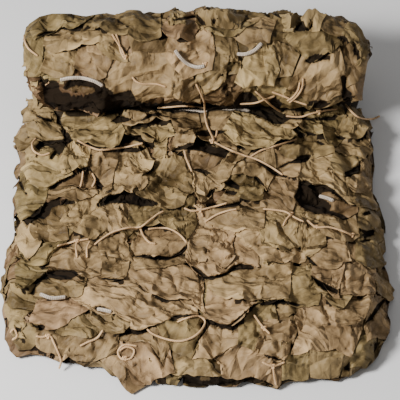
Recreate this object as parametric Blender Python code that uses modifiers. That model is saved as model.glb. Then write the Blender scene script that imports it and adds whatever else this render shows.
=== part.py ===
"""Camouflage netting, folded into a flat pad and rolled up from its back end.

The garnish cloth lies back and forth in layers. The stack runs flat along the floor and then winds up,
over and down in front as a roll. A knotted carrier net lies on the outermost layer, and rows of leaf-cut
cloth hang from it like shingles: they point to the front on the pad and on the roll's face, and to the back
behind the roll's crown. A flecked edge cord shows along the crevice in front of the roll.

Units are metres. +X is to the right, +Y to the back, +Z up. The origin lies on the floor under the pad.
"""

import math
import random

import bmesh
import bpy
from mathutils import Matrix, Vector

# Folded stack
CLOTH_WIDTH = 0.396  # across, between the layers' cut sides
CLOTH = 0.002  # thickness of the garnish cloth
LAYERS = 5
PITCH = 0.0065  # from one layer to the next
FRONT_Y = -0.226  # front edge of the pad
ROLL_Y = 0.186  # the roll's centre, above the line where the floor lets go of the cloth
STACK_TOP = CLOTH + (LAYERS - 1) * PITCH
CLEAR = 0.0008  # between pieces that lie on each other
BEND_CLEAR = 0.0006  # more of it on the roll, where straight faces cut across the bend

# Roll
ROLL_RADIUS = 0.072  # outside radius where the stack leaves the floor
TURN_LOSS = STACK_TOP + 0.005  # how much smaller the roll is after one turn
TURN_STEP = 20  # degrees between points of the first turn
CORE_STEP = 30  # and of the tighter turns inside it

# Uneven lie
PAD_LUMP = 0.0030  # rise and fall of the pad's top
ROLL_LUMP = 0.025  # and of the roll, as a share of its height
TALLER = 0.035  # the right end is this share taller than the middle
LEAN = 0.006  # and leans this far to the front at the height of the roll's middle
EDGE_WANDER = 0.004  # of the front and back edges
NARROWER = 0.025  # the roll is drawn in by this share
# How far the front edge is set back, from the left side to the right, at even steps across the cloth,
# and how far behind the front edge that fades out
SET_BACK = [0.034, 0.030, 0.020, 0.008, 0.001, 0.0, 0.003, 0.010, 0.023]
SET_BACK_FADE = 0.17

# How far each layer winds in, in turns, and how far behind FRONT_Y its front fold lies.
# Two layers that share a fold have the same value there.
LAYER_ENDS = [
    {"turns": 1.60, "front": 0.008},
    {"turns": 1.47, "front": 0.008},
    {"turns": 1.47, "front": 0.003},
    {"turns": 1.22, "front": 0.003},
    {"turns": 1.22, "front": -0.004},
]
FOLD_STEPS = 4
LIP = (-0.006, -0.003)  # how the top layer's front edge turns down, as (y, z)
STATIONS = 9  # columns of points across the cloth
FLAT_STEPS = 8  # stretches along the flat part of a layer
RAGGED = 0.0035  # how far the cut sides wander

# Carrier net
CORD = 0.0026
DIAMOND = 0.081  # a mesh's side, from knot to knot
NET_H = CLEAR + CORD / 2  # height of the cords' middle above the cloth
STRAND = 0.0022  # width of the strands between knots
NET_MARGIN = 0.002  # the net stops this far inside the cloth's sides
NET_PAD = {"start": 0.014, "length": 0.346, "bends": 1}  # start in metres behind the front edge
NET_ROLL = {"start": 55, "length": 0.232, "bends": 3}  # start in degrees round the roll

# Leaf rows
LEAF_CLOTH = 0.0018
BAND = 0.010  # width of the band that a row's leaves hang from
BAND_H = NET_H + CORD / 2 + CLEAR + LEAF_CLOTH / 2
LEAF_SLOPE = 0.13  # rise of a leaf for each metre from its root, so that it clears the next row
LEAVES = 9  # in a row
LEAF_GAP = 0.007  # between the roots of two leaves
UNEVEN = 0.26  # how much wider or narrower than their share the leaves are cut
SHORTEST, LONGEST = 0.76, 1.10  # leaf lengths, as shares of their row's
ROW_WANDER = 0.005  # how far a row strays from its straight line
FRONT_BEND = 0.021  # radius on which leaves turn down over the pad's front edge
CURL = 0.007  # lift of the tip of a leaf whose curl is 1
SEED = 7

# Shapes that the leaves take in turn. Widths are shares of the root's, and so is the skew of the tip.
LEAF_CUTS = [
    {"belly": 1.12, "tip": 0.24, "skew": 0.10, "length": 1.00, "curl": 0.35},
    {"belly": 1.06, "tip": 0.72, "skew": -0.06, "length": 0.82, "curl": 0.10},
    {"belly": 1.15, "tip": 0.16, "skew": -0.22, "length": 1.08, "curl": 0.60},
    {"belly": 1.00, "tip": 0.46, "skew": 0.20, "length": 0.90, "curl": 0.20},
    {"belly": 1.10, "tip": 0.30, "skew": -0.12, "length": 1.04, "curl": 0.80},
]

# Rows on the pad: distance of the root from the front edge, and leaf length.
PAD_ROWS = [
    {"root": 0.016, "leaf": 0.040},
    {"root": 0.052, "leaf": 0.050},
    {"root": 0.088, "leaf": 0.054},
    {"root": 0.125, "leaf": 0.053},
    {"root": 0.163, "leaf": 0.056},
    {"root": 0.200, "leaf": 0.054},
    {"root": 0.237, "leaf": 0.052},
    {"root": 0.274, "leaf": 0.053},
    {"root": 0.311, "leaf": 0.050},
    {"root": 0.348, "leaf": 0.050},
]
# Rows on the roll: angle of the root, which starts at the floor and goes up the back, leaf length,
# and which way the leaves point: -1 is down the back and 1 is down the front.
ROLL_ROWS = [
    {"angle": 60, "leaf": 0.028, "way": -1},
    {"angle": 95, "leaf": 0.044, "way": -1},
    {"angle": 130, "leaf": 0.046, "way": -1},
    {"angle": 153, "leaf": 0.046, "way": 1},
    {"angle": 186, "leaf": 0.046, "way": 1},
    {"angle": 222, "leaf": 0.042, "way": 1},
    {"angle": 258, "leaf": 0.030, "way": 1},
]
END_LEAF = 0.020  # leaves at a row's two ends, past the cut sides
# Rows on the pad's front face and its two sides: the leaves stand out and droop to the floor.
RIM_ROWS = {
    "front": {"leaf": 0.024, "height": 0.0165, "droop": 22},
    "left": {"leaf": 0.020, "height": 0.014, "droop": 20},
    "right": {"leaf": 0.020, "height": 0.014, "droop": 20},
}
RIM_OUT = {"front": 0.0023, "left": RAGGED + CLEAR, "right": RAGGED + CLEAR}  # where their bands start

# Flecked edge cord in the crevice before the roll
EDGE_CORD = {"width": 0.0045, "left": -0.095, "right": 0.065, "y": 0.146, "wander": 0.002, "points": 17}

# Colour and roughness of each finish
FINISHES = {
    "garnish cloth": ((0.205, 0.160, 0.085), 0.6),
    "leaf cloth": ((0.260, 0.205, 0.120), 0.55),
    "net cord": ((0.560, 0.370, 0.180), 0.8),
    "flecked edge cord": ((0.080, 0.070, 0.060), 0.8),
}


def clear_scene():
    for obj in list(bpy.data.objects):
        bpy.data.objects.remove(obj, do_unlink=True)


def material(name, colour, roughness):
    made = bpy.data.materials.new(name)
    made.use_nodes = True
    shader = made.node_tree.nodes["Principled BSDF"]
    shader.inputs["Base Color"].default_value = (*colour, 1.0)
    shader.inputs["Roughness"].default_value = roughness
    shader.inputs["Metallic"].default_value = 0.0
    return made


def set_back(side, y):
    """How far a point moves back because the bundle's front edge isn't straight. side runs from -1 to 1."""
    place = min(max((side + 1) / 2, 0), 0.9999) * (len(SET_BACK) - 1)
    left = int(place)
    back = SET_BACK[left] + (SET_BACK[left + 1] - SET_BACK[left]) * (place - left)
    fade = min(max((FRONT_Y + SET_BACK_FADE - y) / SET_BACK_FADE, 0), 1)
    return back * fade * fade * (3 - 2 * fade)


def settle(x, y, z):
    """The bundle's uneven lie: taller and further forward on the right, lumpy, and flat on the floor."""
    side = 2 * x / CLOTH_WIDTH
    rise = max(z - CLOTH / 2, 0)  # the lowest layer stays flat
    wave = math.sin(19 * x + 1.2) * math.sin(17 * y + 0.6)
    lump = PAD_LUMP * wave * min(rise / STACK_TOP, 1)
    swell = rise * (ROLL_LUMP * math.sin(13 * x + 0.8) + TALLER * side)
    lean = -LEAN * side * rise / ROLL_RADIUS + EDGE_WANDER * math.sin(11 * x + 0.4)
    narrow = 1 - NARROWER * (y - FRONT_Y) / (ROLL_Y - FRONT_Y)
    return Vector((x * narrow, y + lean + set_back(side, y), z + lump + swell))


def roll_radius(turn):
    return ROLL_RADIUS - TURN_LOSS * turn


def roll_point(turn, height):
    """(y, z) on the winding, height metres outside the stack's outer face."""
    angle = 2 * math.pi * turn
    radius = roll_radius(turn) + height + (BEND_CLEAR if height > 0 else 0)
    return ROLL_Y + radius * math.sin(angle), ROLL_RADIUS - radius * math.cos(angle)


def pad_point(back, height):
    """(y, z) on the pad's top, back metres behind its front edge. Less than zero turns down over the edge."""
    if back >= 0:
        return FRONT_Y + back, STACK_TOP + height
    angle = -back / FRONT_BEND
    radius = FRONT_BEND + height
    return FRONT_Y - radius * math.sin(angle), STACK_TOP - FRONT_BEND + radius * math.cos(angle)


# --- folded and rolled cloth ---------------------------------------------------------------------


def layer_line(index):
    """The middle of one layer from its front to its inner end, as (y, z) points."""
    ends = LAYER_ENDS[index]
    depth = CLOTH / 2 + index * PITCH
    front = FRONT_Y + ends["front"]
    points = []
    for step in range(FLAT_STEPS):
        points.append((front + (ROLL_Y - front) * step / FLAT_STEPS, depth))
    points += [roll_point(angle / 360, -depth) for angle in range(0, 360, TURN_STEP)]
    core = ends["turns"] - 1
    winds = math.ceil(core * 360 / CORE_STEP)
    return points + [roll_point(1 + core * step / winds, -depth) for step in range(winds + 1)]


def fold(start, end, inward):
    """Points of a round fold from start to end. inward is the way out of the stack, as (y, z)."""
    start, end, inward = Vector(start), Vector(end), Vector(inward)
    middle = (start + end) / 2
    arm = start - middle
    reach = inward.normalized() * arm.length
    points = []
    for step in range(1, FOLD_STEPS):
        angle = math.pi * step / FOLD_STEPS
        points.append(tuple(middle + arm * math.cos(angle) + reach * math.sin(angle)))
    return points


def stack_line():
    """The whole back-and-forth line, from the outer layer's inner end to the top layer's front edge."""
    line = list(reversed(layer_line(0)))
    for index in range(1, LAYERS):
        nxt = layer_line(index)
        at_front = index % 2 == 1
        if not at_front:
            nxt.reverse()
        along = Vector(line[-1]) - Vector(line[-2])
        line += fold(line[-1], nxt[0], along) + nxt
    front_y, front_z = line[-1]
    line.append((front_y + LIP[0], front_z + LIP[1]))
    return line


def garnish_cloth():
    """The folded and rolled cloth: a line drawn out across the width, then given its thickness."""
    line = stack_line()
    bm = bmesh.new()
    column = [bm.verts.new((-CLOTH_WIDTH / 2, y, z)) for y, z in line]
    for a, b in zip(column, column[1:]):
        bm.edges.new((a, b))
    edges = list(bm.edges)
    step = Vector((CLOTH_WIDTH / (STATIONS - 1), 0, 0))
    for _ in range(STATIONS - 1):
        made = bmesh.ops.extrude_edge_only(bm, edges=edges)["geom"]
        verts = [item for item in made if isinstance(item, bmesh.types.BMVert)]
        new = set(verts)
        bmesh.ops.translate(bm, verts=verts, vec=step)
        edges = [
            item for item in made if isinstance(item, bmesh.types.BMEdge) and new.issuperset(item.verts)
        ]
    for vert in bm.verts:
        x, y, z = vert.co
        side = 2 * abs(x) / CLOTH_WIDTH
        wander = RAGGED * math.sin(37 * y + 300 * z + 2 * math.copysign(1, x))
        vert.co = settle(x + math.copysign(wander * side**4, x), y, z)
    return solid_sheet("garnish_cloth", bm, CLOTH)


def solid_sheet(name, bm, thickness):
    """An open surface made a solid sheet, half of its thickness to each side."""
    mesh = bpy.data.meshes.new(name)
    bm.to_mesh(mesh)
    bm.free()
    obj = bpy.data.objects.new(name, mesh)
    shell = obj.modifiers.new("Cloth", "SOLIDIFY")
    shell.thickness = thickness
    shell.offset = 0
    shell.use_even_offset = False
    mesh.set_sharp_from_angle(angle=math.radians(40))
    return obj


# --- rows of leaves ------------------------------------------------------------------------------


def row_columns(chance):
    """Where a row's band is divided: a wide cell for each leaf, and a narrow one between two leaves."""
    shares = [1 + chance.uniform(-UNEVEN, UNEVEN) for _ in range(LEAVES)]
    scale = (CLOTH_WIDTH - (LEAVES + 1) * LEAF_GAP) / sum(shares)
    columns = [LEAF_GAP / 2 - CLOTH_WIDTH / 2]
    for share in shares:
        columns += [columns[-1] + scale * share, columns[-1] + scale * share + LEAF_GAP]
    return columns[:-1]


def extrude_edge(bm, edge):
    """The new edge that an extrusion of this one makes."""
    made = bmesh.ops.extrude_edge_only(bm, edges=[edge])["geom"]
    verts = {item for item in made if isinstance(item, bmesh.types.BMVert)}
    edges = [item for item in made if isinstance(item, bmesh.types.BMEdge)]
    return next(item for item in edges if set(item.verts) == verts)


def grow_leaf(bm, root, cut, length):
    """Draws a leaf out of its root edge in three stretches. Points are (across, distance, height)."""
    left, right = sorted(vert.co.x for vert in root.verts)
    width, middle = right - left, (left + right) / 2
    edge = root
    for share, breadth in ((0.30, 1.04), (0.66, cut["belly"]), (1.0, cut["tip"])):
        edge = extrude_edge(bm, edge)
        distance = length * cut["length"] * share
        for vert in edge.verts:
            side = math.copysign(0.5, vert.co.x - middle)
            across = middle + width * (cut["skew"] * share**2 + side * breadth)
            vert.co = (across, distance, BAND_H + LEAF_SLOPE * distance + CURL * cut["curl"] * share**2)


def leaf_row(name, length, place, chance, shift=0.0, end_leaves=True):
    """One band with its leaves. place turns (across, distance from the root, height) into a point.

    shift moves the leaves of every other row, so that they lie over the gaps of the next one.
    """
    columns = row_columns(chance)
    bm = bmesh.new()
    bmesh.ops.create_grid(bm, x_segments=len(columns) - 1, y_segments=1, size=1)
    ordered = sorted({round(vert.co.x, 4) for vert in bm.verts})
    for vert in bm.verts:
        across = columns[ordered.index(round(vert.co.x, 4))] + shift
        vert.co = (across, 0.0 if vert.co.y > 0 else -BAND, BAND_H)
    roots = [edge for edge in bm.edges if all(vert.co.y == 0 for vert in edge.verts)]
    roots.sort(key=lambda edge: min(vert.co.x for vert in edge.verts))
    ends = [edge for edge in bm.edges if edge.is_boundary and edge.verts[0].co.y != edge.verts[1].co.y]
    first = chance.randrange(len(LEAF_CUTS))
    for order, root in enumerate(roots[::2]):
        cut = LEAF_CUTS[(first + 2 * order) % len(LEAF_CUTS)]
        grow_leaf(bm, root, cut, length * chance.uniform(SHORTEST, LONGEST))
    if end_leaves:
        for edge in ends:
            side = math.copysign(1, edge.verts[0].co.x)
            reach = chance.uniform(0.6, 1.0) * END_LEAF
            for vert in extrude_edge(bm, edge).verts:
                vert.co.x += side * reach
                vert.co.y = (vert.co.y - BAND / 2) / 2
                vert.co.z += CLEAR
    for vert in bm.verts:
        vert.co = place(*vert.co)
    return solid_sheet(name, bm, LEAF_CLOTH)


def pad_place(root, phase):
    def place(across, distance, height):
        back = root + ROW_WANDER * math.sin(18 * across + phase) - distance
        return settle(across, *pad_point(back, height))

    return place


def roll_place(angle, way):
    turn = angle / 360
    girth = 2 * math.pi * roll_radius(turn)

    def place(across, distance, height):
        return settle(across, *roll_point(turn + way * distance / girth, height))

    return place


def rim_place(side, row):
    """Leaves that stand out from the pad's front face or from one of its sides, and droop to the floor."""
    droop = math.radians(row["droop"])
    middle = (FRONT_Y + ROLL_Y) / 2

    def place(across, distance, height):
        out = RIM_OUT[side] + (distance + BAND) * math.cos(droop)
        z = row["height"] - (distance + BAND) * math.sin(droop)
        if side == "front":
            return settle(across, FRONT_Y - out, z)
        if side == "right":
            return settle(CLOTH_WIDTH / 2 + out, middle + across, z)
        return settle(-CLOTH_WIDTH / 2 - out, middle - across, z)

    return place


def leaf_rows():
    chance = random.Random(SEED)
    rows = []
    for number, row in enumerate(PAD_ROWS, 1):
        shift = (number % 2 - 0.5) * LEAF_GAP
        place = pad_place(row["root"], phase=number)
        rows.append(leaf_row(f"leaf_row_pad_{number}", row["leaf"], place, chance, shift))
    for number, row in enumerate(ROLL_ROWS, 1):
        shift = (number % 2 - 0.5) * LEAF_GAP
        place = roll_place(row["angle"], row["way"])
        rows.append(leaf_row(f"leaf_row_roll_{number}", row["leaf"], place, chance, shift))
    for side, row in RIM_ROWS.items():
        place = rim_place(side, row)
        rows.append(leaf_row(f"leaf_row_{side}", row["leaf"], place, chance, end_leaves=False))
    return rows


# --- carrier net ---------------------------------------------------------------------------------


def net_sheet(name, size, place):
    """A diamond net over the cloth's width: a turned grid whose cells are opened to strands."""
    length = size["length"]
    reach = CLOTH_WIDTH / 2 - NET_MARGIN
    cells = 2 * math.ceil((reach + length) / DIAMOND)
    bm = bmesh.new()
    bmesh.ops.create_grid(bm, x_segments=cells, y_segments=cells, size=cells * DIAMOND / 2)
    bmesh.ops.rotate(bm, verts=bm.verts, matrix=Matrix.Rotation(math.radians(45), 3, "Z"))
    for face in list(bm.faces):
        if any(abs(v.co.x) > reach or abs(v.co.y) > length / 2 for v in face.verts):
            bm.faces.remove(face)
    bmesh.ops.delete(bm, geom=[v for v in bm.verts if not v.link_faces], context="VERTS")
    bmesh.ops.subdivide_edges(bm, edges=bm.edges[:], cuts=size["bends"])
    meshes = bm.faces[:]
    bmesh.ops.inset_individual(bm, faces=meshes, thickness=STRAND / 2, use_even_offset=True)
    bmesh.ops.delete(bm, geom=meshes, context="FACES_ONLY")
    for vert in bm.verts:
        vert.co = place(vert.co.x, vert.co.y + length / 2, NET_H)
    return solid_sheet(name, bm, CORD)


def net_on_pad():
    def place(across, along, height):
        return settle(across, *pad_point(NET_PAD["start"] + along, height))

    return net_sheet("carrier_net_pad", NET_PAD, place)


def net_on_roll():
    start = NET_ROLL["start"] / 360
    girth = 2 * math.pi * roll_radius(start + 0.25)

    def place(across, along, height):
        return settle(across, *roll_point(start + along / girth, height))

    return net_sheet("carrier_net_roll", NET_ROLL, place)


def edge_cord():
    """The flecked edge cord, which lies on the pad in the crevice before the roll."""
    route = bpy.data.curves.new("edge_cord", "CURVE")
    route.dimensions = "3D"
    route.bevel_depth = EDGE_CORD["width"] / 2
    route.bevel_resolution = 1
    route.use_fill_caps = True
    line = route.splines.new("POLY")
    line.points.add(EDGE_CORD["points"] - 1)
    for index, point in enumerate(line.points):
        share = index / (EDGE_CORD["points"] - 1)
        x = EDGE_CORD["left"] + (EDGE_CORD["right"] - EDGE_CORD["left"]) * share
        y = EDGE_CORD["y"] + EDGE_CORD["wander"] * math.sin(5 * math.pi * share)
        z = STACK_TOP + CLEAR + EDGE_CORD["width"] / 2
        point.co = (*settle(x, y, z), 1)
    return bpy.data.objects.new("edge_cord", route)


def stand_on_origin(pieces):
    """Moves the pieces together, so that the middle of their footprint is over the origin."""
    depsgraph = bpy.context.evaluated_depsgraph_get()
    points = []
    for piece in pieces:
        mesh = bpy.data.meshes.new_from_object(piece.evaluated_get(depsgraph))
        points += [vert.co.copy() for vert in mesh.vertices]
        bpy.data.meshes.remove(mesh)
    for axis in (0, 1):
        reach = [point[axis] for point in points]
        for piece in pieces:
            piece.location[axis] = -(min(reach) + max(reach)) / 2


def main():
    clear_scene()
    parts = bpy.data.collections.new("camouflage_netting")
    bpy.context.scene.collection.children.link(parts)
    finishes = {name: material(name, *look) for name, look in FINISHES.items()}
    pieces = [(garnish_cloth(), finishes["garnish cloth"])]
    pieces += [(row, finishes["leaf cloth"]) for row in leaf_rows()]
    pieces += [(net, finishes["net cord"]) for net in (net_on_pad(), net_on_roll())]
    pieces += [(edge_cord(), finishes["flecked edge cord"])]
    for piece, finish in pieces:
        piece.data.materials.append(finish)
        parts.objects.link(piece)
    stand_on_origin([piece for piece, finish in pieces])


main()
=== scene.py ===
import math
import random
import time

import bpy
import numpy as np
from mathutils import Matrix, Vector
from mathutils.bvhtree import BVHTree


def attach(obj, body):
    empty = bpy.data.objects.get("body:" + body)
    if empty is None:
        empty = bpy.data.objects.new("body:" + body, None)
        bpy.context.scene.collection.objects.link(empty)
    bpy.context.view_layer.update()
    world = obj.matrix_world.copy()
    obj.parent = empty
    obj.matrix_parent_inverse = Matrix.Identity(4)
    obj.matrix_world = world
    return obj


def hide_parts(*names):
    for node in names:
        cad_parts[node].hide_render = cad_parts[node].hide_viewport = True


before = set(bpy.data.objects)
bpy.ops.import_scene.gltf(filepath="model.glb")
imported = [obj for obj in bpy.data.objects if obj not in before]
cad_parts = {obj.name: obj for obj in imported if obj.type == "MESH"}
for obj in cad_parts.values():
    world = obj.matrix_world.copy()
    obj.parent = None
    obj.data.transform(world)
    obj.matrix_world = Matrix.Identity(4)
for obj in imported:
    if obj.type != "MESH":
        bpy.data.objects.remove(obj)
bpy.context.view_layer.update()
bpy.ops.object.select_all(action="DESELECT")
scene = bpy.context.scene
startTime = time.time()


def report(text):
    print(f"[{time.time() - startTime:6.1f} s] {text}", flush=True)


# The bundle's own sizes, as the CAD has them
bundle = {
    "width": 0.396,
    "cloth": 0.002,
    "layers": 5,
    "pitch": 0.0065,  # from one layer to the next
    "frontY": -0.226,
    "rollY": 0.186,
    "rollRadius": 0.072,
    "turnLoss": 0.033,  # how much smaller the roll is after one turn
    "padLump": 0.003,
    "rollLump": 0.025,
    "taller": 0.035,
    "lean": 0.006,
    "edgeWander": 0.004,
    "narrower": 0.025,
    "padPress": 0.004,  # how much the leaves press the pad down
    "rollPress": 0.007,  # and the roll in
    "shift": (-0.0013635, -0.0047079),
    "setBack": (0.034, 0.030, 0.020, 0.008, 0.001, 0.0, 0.003, 0.010, 0.023),  # front edge, left to right
    "setBackFade": 0.17,
    "creviceTurn": 0.885,  # where the roll's face meets the pad
    "creviceRun": 0.362,  # and how far behind the front edge it gets painted crevice shade
}
stackTop = bundle["cloth"] + (bundle["layers"] - 1) * bundle["pitch"]
# The waves in which the bundle lies: radians in a metre, and radians at the middle
unevenness = {"padAcross": (19, 1.2), "padAlong": (17, 0.6), "roll": (13, 0.8), "edge": (11, 0.4)}


def wave(name, place):
    rate, start = unevenness[name]
    return np.sin(rate * place + start)


def settle(x, y, z):
    # the bundle's uneven lie: taller and further forward on the right, lumpy, flat on the floor
    side = 2 * x / bundle["width"]
    rise = np.maximum(z - bundle["cloth"] / 2, 0)
    lump = bundle["padLump"] * (wave("padAcross", x) * wave("padAlong", y)) * np.minimum(rise / stackTop, 1)
    swell = rise * (bundle["rollLump"] * wave("roll", x) + bundle["taller"] * side)
    lean = -bundle["lean"] * side * rise / bundle["rollRadius"] + bundle["edgeWander"] * wave("edge", x)
    run = (y - bundle["frontY"]) / (bundle["rollY"] - bundle["frontY"])
    across = x * (1 - bundle["narrower"] * run)
    back = np.interp(side, np.linspace(-1, 1, len(bundle["setBack"])), bundle["setBack"])
    fade = np.clip((bundle["frontY"] + bundle["setBackFade"] - y) / bundle["setBackFade"], 0, 1)
    lean = lean + back * fade * fade * (3 - 2 * fade)
    return np.stack([across + bundle["shift"][0], y + lean + bundle["shift"][1], z + lump + swell], axis=-1)


def rollPoint(turn, height):
    angle = 2 * math.pi * turn
    radius = bundle["rollRadius"] - bundle["turnLoss"] * turn + height
    return bundle["rollY"] + radius * np.sin(angle), bundle["rollRadius"] - radius * np.cos(angle)


def rollRun(turn):
    # length along the roll's face from the floor to this turn
    return 2 * math.pi * (bundle["rollRadius"] * turn - bundle["turnLoss"] * turn * turn / 2)


rollStart = rollRun(bundle["creviceTurn"])


def padPlace(x, along, height):
    pressed = height - bundle["padPress"] * np.clip(1 + height / stackTop, 0, 1)
    return settle(x, bundle["frontY"] + along, stackTop + pressed)


def rollPlace(x, along, height):
    loss = bundle["turnLoss"]
    root = bundle["rollRadius"] ** 2 - loss * (rollStart - along) / math.pi
    turn = (bundle["rollRadius"] - np.sqrt(np.maximum(root, 1e-6))) / loss
    y, z = rollPoint(turn, height - bundle["rollPress"])
    return settle(x, y, z)


# The camera, and where a place in its square picture lies on the cloth
cameraLook = {
    "elevation": 50,
    "distance": 3.0,
    "target": (0.0, -0.010, 0.045),
    "view": 0.480,  # metres across the picture at the target
    "picture": 400,  # pixels across it
}
tilt = math.radians(cameraLook["elevation"])
cameraTarget = Vector(cameraLook["target"])
toCamera = Vector((0, -math.cos(tilt), math.sin(tilt)))
cameraUp = (0, math.sin(tilt), math.cos(tilt))
pictureMiddle = cameraLook["picture"] / 2
camera = bpy.data.objects.new("camera", bpy.data.cameras.new("camera"))
scene.collection.objects.link(camera)
camera.location = cameraTarget + toCamera * cameraLook["distance"]
camera.rotation_euler = (-toCamera).to_track_quat("-Z", "Y").to_euler()
camera.data.lens = camera.data.sensor_width * cameraLook["distance"] / cameraLook["view"]
scene.camera = camera


def sightLine(px, py):
    share = cameraLook["view"] / cameraLook["picture"]
    aim = cameraTarget + Vector((1, 0, 0)) * (px - pictureMiddle) * share
    aim = aim + Vector(cameraUp) * (pictureMiddle - py) * share
    return camera.location.copy(), (aim - camera.location).normalized()


def pictureSpot(points):
    # where points show in the picture, and how long a pixel is there
    away = points - np.array(camera.location)
    depth = -(away @ np.array(toCamera))
    pixel = depth * cameraLook["view"] / cameraLook["picture"] / cameraLook["distance"]
    return pictureMiddle + away[:, 0] / pixel, pictureMiddle - away @ np.array(cameraUp) / pixel, pixel


# Beds: what the leaves settle on, laid out flat. x is across, s runs back from the front edge
# of the pad, or up the roll from the crevice, and heights are above the outer layer of cloth.
bedStep = 0.0035
bedLook = {
    "half": 0.25,
    "margin": 0.075,  # beyond the cloth's ends
    "base": 0.0034,  # net and roots of leaves
    "lump": 0.008,
    "thinSide": (0.03, 0.3),  # how far in the lumps thin out towards the sides, and to what share
    "roundSide": 0.010,
    "roundShare": 0.6,
    "roundFront": 0.021,
    "frontReach": 0.004,
    "sky": 0.3,  # higher than all that lies on a bed
    "beside": 0.03,  # how far the bed goes on past the cloth that settles on it
    "bridged": 3,  # rounds of smoothing before cloth is laid on it
    "evened": 10,  # and when the height of folds is measured
}


def neighbours(heights):
    # the four heights around each
    wide = np.pad(heights, 1, mode="edge")
    return wide[:-2, 1:-1], wide[2:, 1:-1], wide[1:-1, :-2], wide[1:-1, 2:]


def meanAround(heights):
    return sum(neighbours(heights)) / 4


def lumps(x, s, seed):
    # folds of the leaves below, as waves that bend each other
    one = np.sin(41 * x + seed + 1.3 * np.sin(29 * s + seed))
    one = one * np.sin(47 * s + 2 * seed + 1.6 * np.sin(33 * x))
    two = 0.6 * np.sin(83 * x - 61 * s + 3 * seed) * np.sin(71 * s + 52 * x)
    return bedLook["lump"] * np.clip(0.5 + 0.42 * (one + two), 0, 1)


def roundedEdge(inside, radius):
    # how far a round edge has dropped, this far inside it
    return np.where(inside < radius, radius - np.sqrt(np.maximum(radius**2 - (radius - inside) ** 2, 0)), 0)


def makeBed(place, look):
    half, margin = bedLook["half"], bedLook["margin"]
    xs = np.arange(-half, half + 0.0001, bedStep)
    ss = np.arange(-margin, look["length"] + margin + 0.0001, bedStep)
    x, s = np.meshgrid(xs, ss, indexing="ij")
    top = bedLook["base"] + lumps(x, s, look["seed"])
    inside = bundle["width"] / 2 - np.abs(x)
    reach, least = bedLook["thinSide"]
    heights = top * np.clip(inside / reach, least, 1)
    heights = heights - roundedEdge(inside, bedLook["roundSide"]) * bedLook["roundShare"]
    heights = np.where(inside < 0, look["floor"], heights)
    if look["roundFront"]:
        ahead = s + bedLook["frontReach"]
        heights = np.where(ahead < 0, look["floor"], heights - roundedEdge(ahead, bedLook["roundFront"]))
    return {"place": place, "xs": xs, "ss": ss, "heights": heights, **look}


def gridValue(values, u, v):
    u = np.clip(u, 0, values.shape[0] - 1.001)
    v = np.clip(v, 0, values.shape[1] - 1.001)
    i, j = u.astype(int), v.astype(int)
    a, b = u - i, v - j
    near = values[i, j] * (1 - a) + values[i + 1, j] * a
    far = values[i, j + 1] * (1 - a) + values[i + 1, j + 1] * a
    return near * (1 - b) + far * b


def bedHeight(bed, x, s, which="heights"):
    return gridValue(bed[which], (x - bed["xs"][0]) / bedStep, (s - bed["ss"][0]) / bedStep)


def gridFaces(rows, columns):
    i, j = np.meshgrid(np.arange(rows - 1), np.arange(columns - 1), indexing="ij")
    first = (i * columns + j).ravel()
    return np.stack([first, first + columns, first + columns + 1, first + 1], axis=-1)


def setAll(target, values):
    for label, value in values.items():
        setattr(target, label, value)


def meshObject(name, points, faces):
    mesh = bpy.data.meshes.new(name)
    mesh.from_pydata(points.tolist(), [], faces if isinstance(faces, list) else faces.tolist())
    mesh.update()
    made = bpy.data.objects.new(name, mesh)
    scene.collection.objects.link(made)
    return made


def meshPoints(mesh):
    points = np.zeros(len(mesh.vertices) * 3, np.float32)
    mesh.vertices.foreach_get("co", points)
    return points.reshape(-1, 3).astype(float)


def addPattern(mesh, cloth):
    # the flat pattern, in metres, as the mesh's UVs
    loops = np.zeros(len(mesh.loops), np.int32)
    mesh.loops.foreach_get("vertex_index", loops)
    pattern = mesh.uv_layers.new(name="flat")
    pattern.data.foreach_set("uv", cloth[loops].astype(np.float32).ravel())


def bedCollider(bed, low, high):
    # the part of the bed between two places along s, as something that cloth can't fall through
    first, last = (int(place) for place in np.searchsorted(bed["ss"], (low, high)))
    ss = bed["ss"][first:last]
    x, s = np.meshgrid(bed["xs"], ss, indexing="ij")
    points = np.stack([x, s, bed["heights"][:, first:last]], axis=-1).reshape(-1, 3)
    made = meshObject("bed", points, gridFaces(len(bed["xs"]), len(ss))[:, ::-1])
    made.modifiers.new("Collision", "COLLISION")
    setAll(made.collision, bedTouch)
    return made


def raiseBed(bed, points, faces):
    # lifts the bed to the top of the cloth that has settled on it
    tree = BVHTree.FromPolygons(points.tolist(), faces.tolist())
    low, high = points.min(0), points.max(0)
    rows = np.nonzero((bed["xs"] > low[0]) & (bed["xs"] < high[0]))[0]
    columns = np.nonzero((bed["ss"] > low[1]) & (bed["ss"] < high[1]))[0]
    down = Vector((0, 0, -1))
    for i in rows:
        for j in columns:
            hit = tree.ray_cast(Vector((bed["xs"][i], bed["ss"][j], bedLook["sky"])), down)[0]
            if hit is not None and hit.z > bed["heights"][i, j]:
                bed["heights"][i, j] = hit.z


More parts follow.
